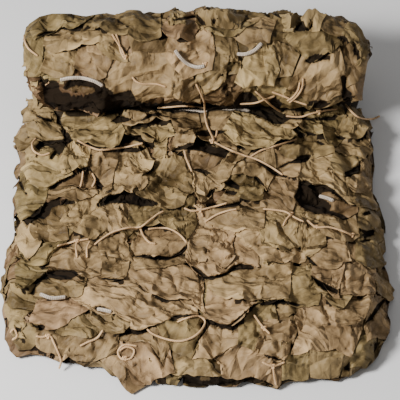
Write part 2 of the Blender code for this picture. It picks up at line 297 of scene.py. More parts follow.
# How leaves are cut
leafCut = {
    "step": 0.0037,
    "side": 0.196,  # past this the cloth is drawn in
    "tuck": 0.018,  # how far it may go past the nearest place
    "spread": 0.206,
    "start": (-0.01, 0.02),
    "wander": 0.012,  # how far roots are off their row
    "waves": 27,
    "stray": 0.6,
    "overlap": 0.74,  # of a leaf's width from one to the next
    "width": (0.050, 0.140),
    "length": (0.75, 1.25),
    "flare": (-0.25, 0.25),
    "turn": 30,  # degrees that a leaf may point aside
    "clear": 0.005,  # how far above the bed it starts
    "arch": (-0.002, 0.004),
    "curl": (-0.001, 0.004),
    "folds": (1, 4),
    "foldHeight": (0.0018, 0.0042),
    "lumps": (0.048, 0.0012),
    "slits": 0.5,  # share of leaves with a slit from the tip up
    "slitPlace": (0.25, 0.75),
    "slitStart": (0.45, 0.7),
    "knot": 0.0042,  # radius of what a knot holds down
    "knotHeight": 0.0013,
    "stiff": 0.5,  # how much flatter a leaf is that stands out from between the layers
    "rootEdge": 0.001,
    "droop": 0.3,
    "most": 1.2,  # of its length, up to which a leaf rises on
    "lightest": 0.7,
}
# Where a leaf is tied, as shares across and down it: always, if it is wide, and often half way down
leafKnots = {
    "ends": (((0.08, 0.2), 0.0), ((0.8, 0.92), 0.0)),
    "wide": 0.075,
    "middle": ((0.4, 0.6), (0.0, 0.08)),
    "tied": 0.5,
    "low": ((0.25, 0.75), (0.3, 0.6)),
}
# The cut end of a leaf: how often it is cut so, and its corners across it with how long it is there
leafEnds = [
    (0.35, [(0, (0.68, 0.9)), ((0.25, 0.75), (0.98, 1.1)), (1, (0.65, 0.85))]),
    (0.75, [(0, (0.75, 1.0)), ((0.15, 0.4), (0.9, 1.1)), ((0.55, 0.85), (0.75, 1.0)), (1, (0.6, 0.9))]),
    (1.0, [(0, (0.8, 1.1)), ((0.3, 0.45), (0.62, 0.78)), ((0.6, 0.8), (0.95, 1.15)), (1, (0.6, 0.85))]),
]
# How the cloth behaves, and what it meets
clothFeel = {
    "quality": 4, "mass": 0.15, "air_damping": 3.0, "tension_stiffness": 12, "compression_stiffness": 12,
    "shear_stiffness": 4, "bending_stiffness": 2.0, "tension_damping": 3, "compression_damping": 3,
    "shear_damping": 2, "bending_damping": 0.5, "pin_stiffness": 1.0,
}
clothTouch = {"distance_min": 0.0010, "collision_quality": 2, "use_self_collision": False}
bedTouch = {"thickness_outer": 0.0011, "thickness_inner": 0.01, "cloth_friction": 25, "damping": 0.8,
            "use_culling": False}
rowSettling = {"gather": 0.06, "frames": 11}  # how much more cloth there is than between its knots
foldLook = {"aim": 0.7, "across": (-0.5, 0.5), "down": (0.1, 1.0), "wander": 0.0015, "waves": 90,
            "start": 500, "reach": (0.009, 0.026), "ways": (-0.8, 1), "sharp": 1.1}
pleatLook = {"counts": (5, 6, 7, 8, 9), "height": 0.0030, "level": 0.35, "twist": 0.25, "turns": 120,
             "start": 900, "flat": 0.007, "reach": 0.026}
lumpLook = {"waves": 4, "bend": 2.1, "finer": (0.7, 1.4), "evened": 2.4}


def drawn(chance, value):
    # a number as it is, or one from a range
    return chance.uniform(*value) if isinstance(value, tuple) else value


def foldLines(chance, across, down, width, length, look=leafCut):
    # long creases: each rises or sinks to a line across the leaf
    total = np.zeros_like(across)
    for _ in range(chance.randint(*look["folds"])):
        angle = chance.gauss(0, foldLook["aim"])
        u, v = chance.uniform(*foldLook["across"]) * width, chance.uniform(*foldLook["down"]) * length
        away = (across - u) * math.cos(angle) + (down - v) * math.sin(angle)
        along = down * math.cos(angle) - across * math.sin(angle)
        away = away + foldLook["wander"] * np.sin(foldLook["waves"] * along + u * foldLook["start"])
        reach = chance.uniform(*foldLook["reach"])
        height = chance.choice(foldLook["ways"]) * chance.uniform(*look["foldHeight"])
        total += height * np.clip(1 - np.abs(away) / reach, 0, 1) ** foldLook["sharp"]
    return total


def knotFolds(chance, across, down, knot):
    # creases that run out from where a knot gathers the cloth
    x, y = across - knot[0], down - knot[1]
    far = np.hypot(x, y)
    turn = np.arctan2(y, x) / (2 * math.pi)
    count = chance.choice(pleatLook["counts"])
    twist = pleatLook["twist"] * np.sin(far * pleatLook["turns"] + knot[0] * pleatLook["start"])
    turn = turn * count + chance.random() + twist
    waves = np.abs(2 * (turn - np.floor(turn)) - 1) - pleatLook["level"]
    return pleatLook["height"] * waves * far / (far + pleatLook["flat"]) * np.exp(-far / pleatLook["reach"])


def softLumps(chance, across, down, size, height):
    # smooth unevenness of roughly this size
    total = np.zeros_like(across)
    for _ in range(lumpLook["waves"]):
        angle, shift = chance.uniform(0, math.pi), chance.uniform(0, 9)
        turned = across * math.cos(angle) + down * math.sin(angle)
        other = down * math.cos(angle) - across * math.sin(angle)
        bend = np.sin(other / size * lumpLook["bend"] + 2 * shift)
        total += np.sin(turned / size * 2 * math.pi * chance.uniform(*lumpLook["finer"]) + shift + bend)
    return height * total / lumpLook["evened"]


def leafEdge(chance):
    kind = chance.random()
    ranges = next(corners for share, corners in leafEnds if kind < share)
    corners = []
    for place, reach in ranges:
        place = drawn(chance, place)
        corners.append((place, drawn(chance, reach)))
    if chance.random() < 0.5:
        corners = [(1 - place, reach) for place, reach in reversed(corners)]
    return corners


def leafShape(chance, width, length, behind):
    # a leaf laid flat: how far along its width, across and down from its root's middle each point is
    columns = max(int(width / leafCut["step"]), 6)
    rows = max(int((length + behind) / leafCut["step"]), 5)
    u, t = np.meshgrid(np.linspace(0, 1, columns + 1), np.linspace(0, 1, rows + 1), indexing="ij")
    reach = length * np.interp(u, *zip(*leafEdge(chance)))
    down = -behind + (reach + behind) * t
    left = chance.uniform(*leafCut["flare"]) * down
    right = chance.uniform(*leafCut["flare"]) * down
    return u, -width / 2 - left + u * (width + left + right), down


def leafPlace(chance, bed, root, heading, across, down):
    # x and s of a leaf on the bed; heading is 0 down the bed, 180 up it, 90 to the right, in degrees
    turn = math.radians(heading + chance.uniform(-1, 1) * leafCut["turn"])
    x = root[0] + across * math.cos(turn) + down * math.sin(turn)
    s = root[1] + across * math.sin(turn) - down * math.cos(turn)
    over = np.maximum(np.abs(x) - leafCut["side"], 0)
    x = np.sign(x) * (np.abs(x) - over + bed["overhang"] * np.tanh(over / bed["overhang"]))
    short = np.maximum(bed["nearest"] - s, 0)
    return x, s + short - leafCut["tuck"] * np.tanh(short / leafCut["tuck"])


def leafTies(chance, width, standing):
    knots = list(leafKnots["ends"])
    if width > leafKnots["wide"]:
        knots.append(leafKnots["middle"])
    knots = [(drawn(chance, place), drawn(chance, share)) for place, share in knots]
    if chance.random() < leafKnots["tied"] and not standing:
        place, share = leafKnots["low"]
        knots.append((chance.uniform(*place), chance.uniform(*share)))
    return knots


def slitLeaf(chance, points, cloth, faces, columns, rows):
    # a slit from the tip up: the cloth beside it gets points of its own
    column = int(columns * chance.uniform(*leafCut["slitPlace"]))
    start = int(rows * chance.uniform(*leafCut["slitStart"]))
    old = column * (rows + 1) + np.arange(start + 1, rows + 1)
    table = np.arange(len(points) + len(old))
    table[old] = len(points) + np.arange(len(old))
    beside = np.arange(len(faces)) // rows == column
    faces[beside] = table[faces[beside]]
    return np.vstack([points, points[old]]), np.vstack([cloth, cloth[old]])


def nearKnot(cloth, knot, radius):
    return np.nonzero(((cloth - np.array(knot)) ** 2).sum(1) < radius**2)[0]


def cutLeaf(chance, bed, root, heading, width, length, behind, rootHeight=None):
    # a leaf that lies on the bed, or with rootHeight stands out from between the layers
    standing = rootHeight is not None
    u, across, down = leafShape(chance, width, length, behind)
    columns, rows = u.shape[0] - 1, u.shape[1] - 1
    x, s = leafPlace(chance, bed, root, heading, across, down)
    knots = []
    for place, share in leafTies(chance, width, standing):
        column = int(place * columns)
        row = min(int(round((behind + share * length) / (length + behind) * rows)), rows)
        knots.append((across[column, row], down[column, row]))
    lift = np.clip(down / length, 0, leafCut["most"])
    arch = chance.uniform(*leafCut["arch"]) * (1 - (2 * u - 1) ** 2) * lift
    curl = chance.uniform(*leafCut["curl"]) * lift**2
    bumps = foldLines(chance, across, down, width, length)
    bumps += softLumps(chance, across, down, *leafCut["lumps"])
    for knot in knots:
        bumps += knotFolds(chance, across, down, knot)
    ground = bedHeight(bed, x, s, "smooth")
    if standing:
        ground = np.maximum(ground, rootHeight)
        bumps = bumps * leafCut["stiff"]
    points = np.stack([x, s, ground + leafCut["clear"] + arch + curl + bumps], axis=-1).reshape(-1, 3)
    cloth = np.stack([across, down], axis=-1).reshape(-1, 2)
    faces = gridFaces(columns + 1, rows + 1)[:, ::-1]
    if chance.random() < leafCut["slits"]:
        points, cloth = slitLeaf(chance, points, cloth, faces, columns, rows)
    pinned = []
    for knot in knots:
        near = nearKnot(cloth, knot, leafCut["knot"])
        points[near, 2] = bedHeight(bed, points[near, 0], points[near, 1]) + leafCut["knotHeight"]
        pinned += near.tolist()
    if standing:
        pinned = np.nonzero(cloth[:, 1] < leafCut["rootEdge"])[0].tolist()
        points[pinned, 2] = rootHeight + leafCut["droop"] * (points[pinned, 2] - points[pinned, 2].mean())
    return {"points": points, "faces": faces, "cloth": cloth, "pinned": pinned,
            "tone": chance.random() * leafCut["lightest"], "tint": chance.random()}


def quadArea(points, faces):
    a, b, c, d = (points[faces[:, k]] for k in range(4))
    one = np.linalg.norm(np.cross(b - a, c - a), axis=-1)
    two = np.linalg.norm(np.cross(c - a, d - a), axis=-1)
    return float((one + two).sum() / 2)


def stackLeaves(leaves):
    # the points and faces of some leaves as one, and where each leaf's points start
    starts = np.cumsum([0] + [len(leaf["points"]) for leaf in leaves]).tolist()
    points = np.vstack([leaf["points"] for leaf in leaves])
    faces = np.vstack([leaf["faces"] + start for leaf, start in zip(leaves, starts)])
    return points, faces, starts


def smoothBed(bed):
    # heights that bridge the hollows, so that new cloth starts clear of everything
    heights = bed["heights"].copy()
    for _ in range(bedLook["bridged"]):
        heights = np.maximum(heights, meanAround(heights))
    bed["smooth"] = heights


def settleCloth(bed, leaves, gather, frames):
    # drops the leaves on the bed together; they lie apart from each other
    points, faces, starts = stackLeaves(leaves)
    pinned = [index + start for leaf, start in zip(leaves, starts) for index in leaf["pinned"]]
    beside = bedLook["beside"]
    collider = bedCollider(bed, points[:, 1].min() - beside, points[:, 1].max() + beside)
    cloth = meshObject("settling", points, faces)
    cloth.vertex_groups.new(name="knots").add(pinned, 1.0, "REPLACE")
    sim = cloth.modifiers.new("Cloth", "CLOTH")
    setAll(sim.settings, {**clothFeel, "shrink_min": -gather, "vertex_group_mass": "knots"})
    setAll(sim.collision_settings, clothTouch)
    setAll(sim.point_cache, {"frame_start": 1, "frame_end": frames})
    for number in range(1, frames + 1):
        scene.frame_set(number)
    settled = cloth.evaluated_get(bpy.context.evaluated_depsgraph_get())
    result = meshPoints(settled.to_mesh())
    settled.to_mesh_clear()
    bpy.data.objects.remove(cloth, do_unlink=True)
    bpy.data.objects.remove(collider, do_unlink=True)
    for leaf, start in zip(leaves, starts):
        leaf["points"] = result[start:start + len(leaf["points"])]
    raiseBed(bed, result, faces)


def layCloth(bed, leaves, gather, frames):
    settleCloth(bed, leaves, gather, frames)


leafPieces = []


def keepLeaves(name, bed, placed, node=None):
    leafPieces.append({"name": name, "bed": bed, "placed": placed, "node": node})
    heights = np.hstack([leaf["points"][:, 2] for leaf in placed]) * 1000
    report(f"{name}: {len(placed)} leaves, {len(heights)} points, height {np.median(heights):.0f} and up to "
           f"{np.percentile(heights, 98):.0f} and {heights.max():.0f} mm")


def leafRow(name, node, bed, chance, root, heading, length, behind):
    # one row of overlapping leaves: every second one settles first, and the others lie over them
    leaves = []
    half, wander = leafCut["spread"], leafCut["wander"]
    middle = -half + chance.uniform(*leafCut["start"])
    start = chance.uniform(0, 6)
    while middle < half:
        width = chance.uniform(*leafCut["width"])
        middle += width * leafCut["overlap"] / 2
        stray = wander * math.sin(leafCut["waves"] * middle + start)
        stray += chance.uniform(-1, 1) * wander * leafCut["stray"]
        leaves.append((middle, root + stray, width, length * chance.uniform(*leafCut["length"])))
        middle += width * leafCut["overlap"] / 2
    order = chance.random() < 0.5
    placed = []
    for group in (leaves[order::2], leaves[1 - order::2]):
        smoothBed(bed)
        batch = [cutLeaf(chance, bed, (x, s), heading, wide, long, behind) for x, s, wide, long in group]
        layCloth(bed, batch, **rowSettling)
        placed += batch
    keepLeaves(name, bed, placed, node)


# Leaf ends that stand out between the layers
rimSides = {"Left": -1, "Right": 1, "Front": 0}
rimLook = {
    "start": (-0.02, 0.01),
    "width": (0.035, 0.075),
    "overlap": 0.42,  # of a leaf's width from its middle to where it meets the next
    "length": (0.6, 1.15),
    "frontRoot": -0.0055,
    "sideRoot": 0.1935,
}


def rimRow(name, node, bed, chance, label, rims):
    side, span, placed = rimSides[label], rims["spans"][label], []
    for level in rims["levels"]:
        smoothBed(bed)
        groups = ([], [])
        along, number = span[0] + chance.uniform(*rimLook["start"]), 0
        while along < span[1]:
            width = chance.uniform(*rimLook["width"])
            along += width * rimLook["overlap"]
            root = (along, rimLook["frontRoot"]) if side == 0 else (side * rimLook["sideRoot"], along)
            groups[number % 2].append((root, width, rims["length"] * chance.uniform(*rimLook["length"])))
            along += width * rimLook["overlap"]
            number += 1
        for group in groups:
            batch = [cutLeaf(chance, bed, root, 90 * side, wide, long, 0.0, level)
                     for root, wide, long in group]
            layCloth(bed, batch, **rowSettling)
            placed += batch
    keepLeaves(name, bed, placed, node)


# The rows on the pad: distance of the root behind the front edge, and length of the leaves
padRows = [(0.020, 0.056), (0.052, 0.066), (0.088, 0.070), (0.125, 0.072), (0.163, 0.070),
           (0.200, 0.074), (0.237, 0.070), (0.274, 0.068), (0.311, 0.066), (0.348, 0.064)]
# The rows on the roll, in the order of laying: distance of the root above the crevice, length, and heading
rollRows = {
    7: (0.047, 0.036, 0), 6: (0.078, 0.054, 0), 5: (0.112, 0.060, 0),
    1: (0.240, 0.034, 180), 2: (0.206, 0.050, 180), 3: (0.172, 0.054, 180), 4: (0.144, 0.064, 0),
}
# How far a row reaches behind its knots, and the row that bridges the two headings
rowBehind, bridgingRow, bridgeBehind = 0.006, 4, 0.03

# The leaves that show, laid one over another from the front of the pad back, and then up the roll.
# Each has a tone (0 dark, 1 light), a tint (0 olive, 1 pinkish), and its corners from the left end
# of the root round the cut edge to the right end of the root: picture x, picture y and, away from
# the root, mm above what is there.
shownPad = {
    "Front": [
        (0.6, 0.6, [(98, 345), (98, 360, 2), (131, 396, 1), (150, 386, 2), (152, 342)]),
        (0.4, 0.4, [(148, 360), (150, 386, 1), (160, 391, 1), (169, 387, 1), (170, 360)]),
        (0.35, 0.1, [(166, 360), (168, 387, 1), (177, 392, 1), (181, 384, 1), (184, 360)]),
        (0.1, 0.3, [(182, 356), (184, 386, 1), (210, 387, 1), (238, 384, 1), (236, 356)]),
        (0.5, 0.7, [(255, 350), (256, 383, 2), (277, 388, 2), (284, 377, 2), (286, 348)]),
        (0.4, 0.1, [(281, 344), (283, 381, 3), (308, 380, 3), (311, 369, 3), (306, 342)]),
        (0.5, 0.3, [(308, 340), (310, 378, 3), (338, 381, 4), (342, 364, 4), (346, 340)]),
        (0.4, 0.1, [(350, 338), (349, 367, 2), (366, 367, 2), (375, 359, 2), (380, 338)]),
        (0.4, 0.2, [(14, 326), (11, 345, 2), (17, 356, 3), (30, 353, 3), (38, 346, 2), (40, 326)]),
        (0.5, 0.5, [(36, 330), (35, 348, 3), (46, 355, 3), (60, 359, 4), (76, 362, 3), (98, 360, 4),
            (116, 355, 3), (120, 330)]),
        (0.65, 0.7, [(216, 342), (212, 357, 3), (222, 379, 6), (250, 380, 6), (262, 382, 5), (272, 372, 4),
            (277, 342)]),
        (0.55, 0.3, [(170, 342), (164, 358, 3), (172, 375, 7), (196, 379, 8), (220, 380, 8), (210, 367, 5),
            (194, 342)]),
        (0.75, 0.8, [(120, 342), (126, 366, 2), (133, 385, 3), (150, 385, 4), (162, 379, 5), (176, 374, 6),
            (168, 342)]),
        (0.6, 0.5, [(134, 328), (116, 343, 4), (147, 342, 5), (164, 367, 5), (171, 349, 3), (166, 330)]),
        (0.8, 0.6, [(207, 318), (199, 336, 3), (191, 359, 4), (212, 359, 5), (226, 352, 5), (239, 345, 4),
            (252, 316)]),
        (0.45, 0.2, [(150, 318), (169, 349, 4), (190, 360, 5), (205, 329, 7), (207, 316)]),
        (0.55, 0.15, [(240, 308), (237, 345, 3), (253, 351, 4), (263, 336, 5), (278, 320, 4), (274, 300)]),
        (0.7, 0.6, [(264, 320), (253, 350, 4), (268, 357, 4), (285, 362, 6), (294, 344, 5), (300, 325)]),
        (0.85, 0.65, [(306, 296), (295, 318, 6), (301, 335, 5), (290, 353, 5), (310, 352, 6), (335, 350, 6),
            (352, 357, 5), (364, 330, 4), (358, 300)]),
        (0.5, 0.2, [(10, 286), (3, 312, 4), (7, 338, 4), (20, 343, 5), (31, 320, 5), (42, 298, 4),
            (46, 284)]),
        (0.5, 0.25, [(64, 308), (55, 334, 4), (88, 342, 7), (101, 329, 6), (100, 306)]),
        (0.8, 0.9, [(42, 288), (29, 322, 5), (47, 331, 7), (62, 327, 5), (89, 311, 7), (94, 290)]),
        (0.5, 0.35, [(90, 300), (85, 318, 4), (100, 328, 6), (124, 337, 8), (133, 321, 6), (120, 300)]),
        (0.5, 0.6, [(366, 296), (361, 328, 4), (362, 341, 4), (376, 338, 4), (388, 341, 3), (390, 321, 3),
            (386, 296)]),
        (0.65, 0.6, [(338, 286), (334, 322, 6), (345, 328, 6), (362, 327, 6), (369, 312, 5), (374, 286)]),
        (0.95, 0.6, [(92, 262), (68, 296, 4), (88, 308, 5), (116, 313, 6), (133, 320, 7), (129, 330, 9),
            (138, 333, 9), (148, 330, 8), (166, 322, 5), (200, 318, 5), (196, 262)]),
        (0.95, 0.7, [(208, 280), (203, 318, 6), (212, 322, 8), (228, 328, 10), (240, 320, 10), (252, 307, 9),
            (262, 301, 6), (266, 280)]),
        (0.65, 0.2, [(262, 268), (258, 302, 7), (280, 301, 9), (303, 307, 8), (319, 305, 6), (324, 288, 3),
            (312, 264)]),
        (0.5, 0.25, [(306, 266), (315, 289, 5), (325, 300, 6), (341, 309, 8), (354, 297, 6), (350, 266)]),
    ],
    "Middle": [
        (0.5, 0.35, [(42, 272), (33, 298, 5), (50, 300, 6), (69, 299, 7), (82, 296, 5), (88, 274)]),
        (0.35, 0.3, [(16, 258), (0, 279, 2), (7, 285, 2), (3, 291, 2), (13, 295, 3), (24, 258)]),
        (0.85, 0.65, [(140, 244), (129, 272, 5), (146, 290, 7), (158, 298, 8), (170, 300, 9), (182, 295, 8),
            (192, 299, 8), (204, 318, 8), (210, 290, 4), (204, 244)]),
        (0.5, 0.4, [(370, 262), (371, 288, 4), (386, 298, 5), (392, 299, 4), (397, 293, 4), (390, 283, 4),
            (388, 262)]),
        (0.8, 0.65, [(342, 246), (340, 295, 6), (357, 297, 6), (376, 296, 6), (375, 268, 4), (374, 246)]),
        (0.8, 0.45, [(200, 250), (205, 285, 4), (213, 297, 5), (230, 299, 6), (238, 303, 7), (262, 300, 7),
            (290, 299, 6), (294, 256)]),
        (0.35, 0.05, [(20, 242), (14, 270, 4), (20, 290, 7), (30, 292, 10), (36, 280, 10), (46, 272, 9),
            (56, 266, 6), (62, 238)]),
        (0.3, 0.6, [(50, 258), (45, 272, 6), (62, 284, 8), (81, 275, 9), (82, 256)]),
        (0.6, 0.55, [(64, 232), (45, 268, 5), (66, 270, 5), (82, 277, 6), (101, 276, 5), (110, 236)]),
        (0.75, 0.5, [(97, 232), (101, 279, 7), (122, 281, 9), (128, 262, 9), (128, 236)]),
        (0.6, 0.5, [(132, 236), (127, 264, 4), (135, 272, 5), (156, 268, 5), (190, 264, 5), (192, 236)]),
        (0.8, 0.7, [(190, 228), (186, 263, 6), (200, 271, 9), (208, 277, 11), (222, 273, 11), (232, 265, 11),
            (245, 263, 11), (258, 268, 8), (254, 232)]),
        (0.9, 0.55, [(240, 218), (235, 236, 4), (250, 249, 5), (262, 263, 6), (285, 263, 5), (306, 262, 5),
            (320, 232)]),
        (0.8, 0.7, [(318, 232), (311, 277, 7), (322, 285, 10), (338, 294, 11), (343, 270, 7), (348, 236)]),
        (0.85, 0.6, [(314, 226), (307, 258, 7), (320, 267, 7), (338, 268, 5), (352, 262, 5), (347, 243, 4),
            (342, 226)]),
        (0.55, 0.2, [(354, 230), (352, 262, 4), (366, 268, 4), (389, 263, 4), (390, 250, 4), (386, 230)]),
        (0.4, 0.1, [(36, 226), (24, 262, 5), (44, 268, 6), (61, 246, 6), (78, 230)]),
        (0.9, 0.4, [(19, 210), (15, 246, 4), (27, 263, 7), (41, 243, 6), (32, 214)]),
        (0.45, 0.4, [(40, 206), (28, 230, 5), (36, 241, 6), (70, 241, 5), (68, 208)]),
        (0.55, 0.6, [(142, 218), (131, 250, 4), (142, 256, 8), (160, 258, 10), (178, 254, 10), (188, 243, 9),
            (174, 218)]),
        (0.75, 0.6, [(192, 206), (184, 232, 4), (189, 262, 5), (206, 262, 4), (214, 232, 3), (212, 206)]),
        (0.85, 0.7, [(214, 214), (205, 257, 5), (222, 269, 6), (236, 258, 6), (233, 235, 6), (242, 214)]),
        (0.7, 0.3, [(264, 198), (258, 228, 4), (262, 246, 5), (284, 253, 5), (302, 240, 5), (304, 206)]),
        (0.8, 0.35, [(304, 206), (298, 241, 5), (308, 259, 6), (328, 245, 5), (324, 212)]),
        (0.7, 0.5, [(226, 190), (207, 222, 5), (236, 235, 6), (264, 228, 5), (266, 192)]),
        (0.7, 0.45, [(324, 200), (317, 232, 6), (330, 239, 6), (346, 243, 6), (360, 238, 4), (354, 206)]),
        (0.45, 0.3, [(360, 198), (356, 228, 9), (366, 229, 10), (377, 230, 9), (384, 236, 6), (383, 222, 4),
            (382, 198)]),
    ],
    "Back": [
        (0.95, 0.4, [(76, 190), (59, 222, 5), (71, 232, 6), (82, 239, 6), (96, 241, 6), (109, 231, 5),
            (104, 190)]),
        (0.65, 0.5, [(106, 190), (100, 218, 4), (108, 236, 5), (142, 229, 5), (138, 192)]),
        (0.5, 0.2, [(132, 196), (127, 224, 5), (141, 230, 10), (160, 228, 12), (175, 231, 11), (189, 243, 8),
            (198, 225, 4), (194, 196)]),
        (0.3, 0.7, [(300, 170), (292, 203, 4), (312, 213, 5), (345, 219, 6), (358, 213, 5), (354, 180)]),
        (0.55, 0.6, [(264, 170), (260, 208, 5), (290, 214, 5), (301, 198, 5), (300, 172)]),
        (0.35, 0.05, [(22, 168), (12, 195, 4), (16, 218, 5), (23, 220, 8), (35, 212, 11), (44, 200, 11),
            (49, 187, 9), (48, 168)]),
        (0.5, 0.5, [(50, 176), (44, 198, 8), (56, 197, 10), (77, 200, 10), (97, 194, 6), (94, 176)]),
        (0.35, 0.65, [(66, 160), (56, 186, 4), (80, 189, 5), (100, 190, 5), (100, 162)]),
        (0.45, 0.2, [(226, 164), (221, 187, 6), (240, 200, 9), (264, 198, 6), (268, 170)]),
        (0.5, 0.3, [(150, 160), (134, 190, 6), (146, 202, 10), (164, 206, 8), (183, 209, 7), (194, 192, 5),
            (192, 160)]),
        (0.9, 0.45, [(100, 150), (104, 188, 6), (97, 203, 11), (106, 198, 13), (121, 193, 13), (137, 191, 13),
            (150, 170, 6), (144, 150)]),
        (0.9, 0.5, [(139, 178), (136, 185, 5), (141, 190, 6), (148, 184, 6), (147, 177)]),
        (0.8, 0.45, [(192, 156), (190, 186, 5), (203, 203, 11), (213, 190, 10), (226, 184, 7), (218, 158)]),
        (0.4, 0.6, [(180, 146), (188, 171, 4), (216, 173, 5), (230, 160, 3), (224, 146)]),
        (0.95, 0.4, [(306, 144), (298, 178, 6), (302, 181, 11), (313, 186, 12), (323, 184, 12),
            (335, 191, 12), (353, 207, 10), (360, 198, 5), (338, 150)]),
        (0.6, 0.35, [(346, 178), (351, 206, 6), (360, 211, 7), (381, 212, 6), (374, 180)]),
        (0.7, 0.5, [(360, 142), (348, 185, 6), (357, 194, 8), (373, 190, 6), (374, 165, 4), (372, 142)]),
        (0.75, 0.15, [(32, 144), (17, 172, 4), (29, 186, 6), (46, 188, 9), (56, 180, 10), (72, 175, 9),
            (66, 146)]),
        (0.55, 0.55, [(90, 138), (90, 169, 10), (106, 188, 10), (120, 160, 5), (118, 138)]),
        (0.9, 0.25, [(76, 130), (59, 162, 6), (62, 178, 10), (80, 169, 11), (90, 167, 10), (93, 138)]),
        (0.7, 0.55, [(270, 140), (262, 165, 6), (285, 177, 8), (299, 178, 6), (302, 148)]),
        (0.8, 0.45, [(248, 138), (233, 168, 5), (231, 178, 8), (256, 178, 9), (268, 190, 8), (277, 170, 5),
            (272, 140)]),
        (0.9, 0.25, [(342, 140), (330, 168, 6), (344, 176, 8), (359, 172, 9), (364, 158, 6), (360, 140)]),
        (0.95, 0.35, [(134, 140), (128, 158, 5), (146, 173, 8), (154, 167, 8), (144, 140)]),
        (0.95, 0.25, [(158, 128), (151, 146, 4), (154, 157, 6), (164, 160, 6), (172, 150, 5), (168, 130)]),
        (0.9, 0.45, [(236, 136), (228, 157, 7), (213, 180, 6), (223, 186, 6), (235, 166, 5), (253, 152, 4),
            (250, 136)]),
        (0.55, 0.25, [(290, 128), (281, 152, 6), (300, 159, 9), (313, 155, 9), (336, 152, 6), (332, 130)]),
        (0.6, 0.4, [(348, 126), (335, 150, 5), (352, 153, 6), (367, 160, 7), (373, 150, 5), (368, 128)]),
        (0.6, 0.5, [(180, 108), (171, 151, 8), (184, 146, 12), (198, 138, 14), (215, 141, 14), (234, 147, 11),
            (240, 110)]),
        (0.6, 0.3, [(124, 114), (117, 140, 6), (129, 134, 11), (140, 138, 11), (153, 146, 8), (160, 118)]),
        (0.8, 0.2, [(142, 106), (140, 132, 4), (160, 141, 5), (176, 136, 5), (170, 106)]),
        (0.5, 0.3, [(30, 124), (21, 134, 4), (10, 140, 4), (25, 155, 6), (34, 159, 6), (44, 126)]),
        (0.75, 0.2, [(240, 100), (221, 132, 5), (240, 147, 8), (262, 151, 8), (281, 142, 10), (297, 139, 10),
            (304, 126, 5), (290, 102)]),
        (0.45, 0.1, [(302, 104), (299, 131, 8), (322, 138, 10), (336, 149, 8), (347, 135, 5), (344, 106)]),
        (0.6, 0.25, [(348, 108), (336, 134, 8), (348, 138, 10), (370, 135, 9), (378, 126, 5), (366, 110)]),
        (0.8, 0.4, [(286, 104), (279, 127, 5), (300, 134, 9), (306, 131, 8), (300, 104)]),
        (0.65, 0.3, [(24, 100), (15, 113, 4), (26, 138, 6), (42, 143, 10), (61, 140, 11), (63, 128, 8),
            (52, 104)]),
        (0.8, 0.2, [(72, 94), (61, 120, 5), (67, 139, 7), (90, 147, 9), (118, 149, 9), (124, 130, 6),
            (116, 104)]),
        (0.55, 0.5, [(128, 100), (121, 125, 5), (139, 127, 9), (151, 116, 13), (161, 114, 13), (169, 121, 12),
            (177, 136, 8), (200, 128, 4), (196, 100)]),
    ],
}
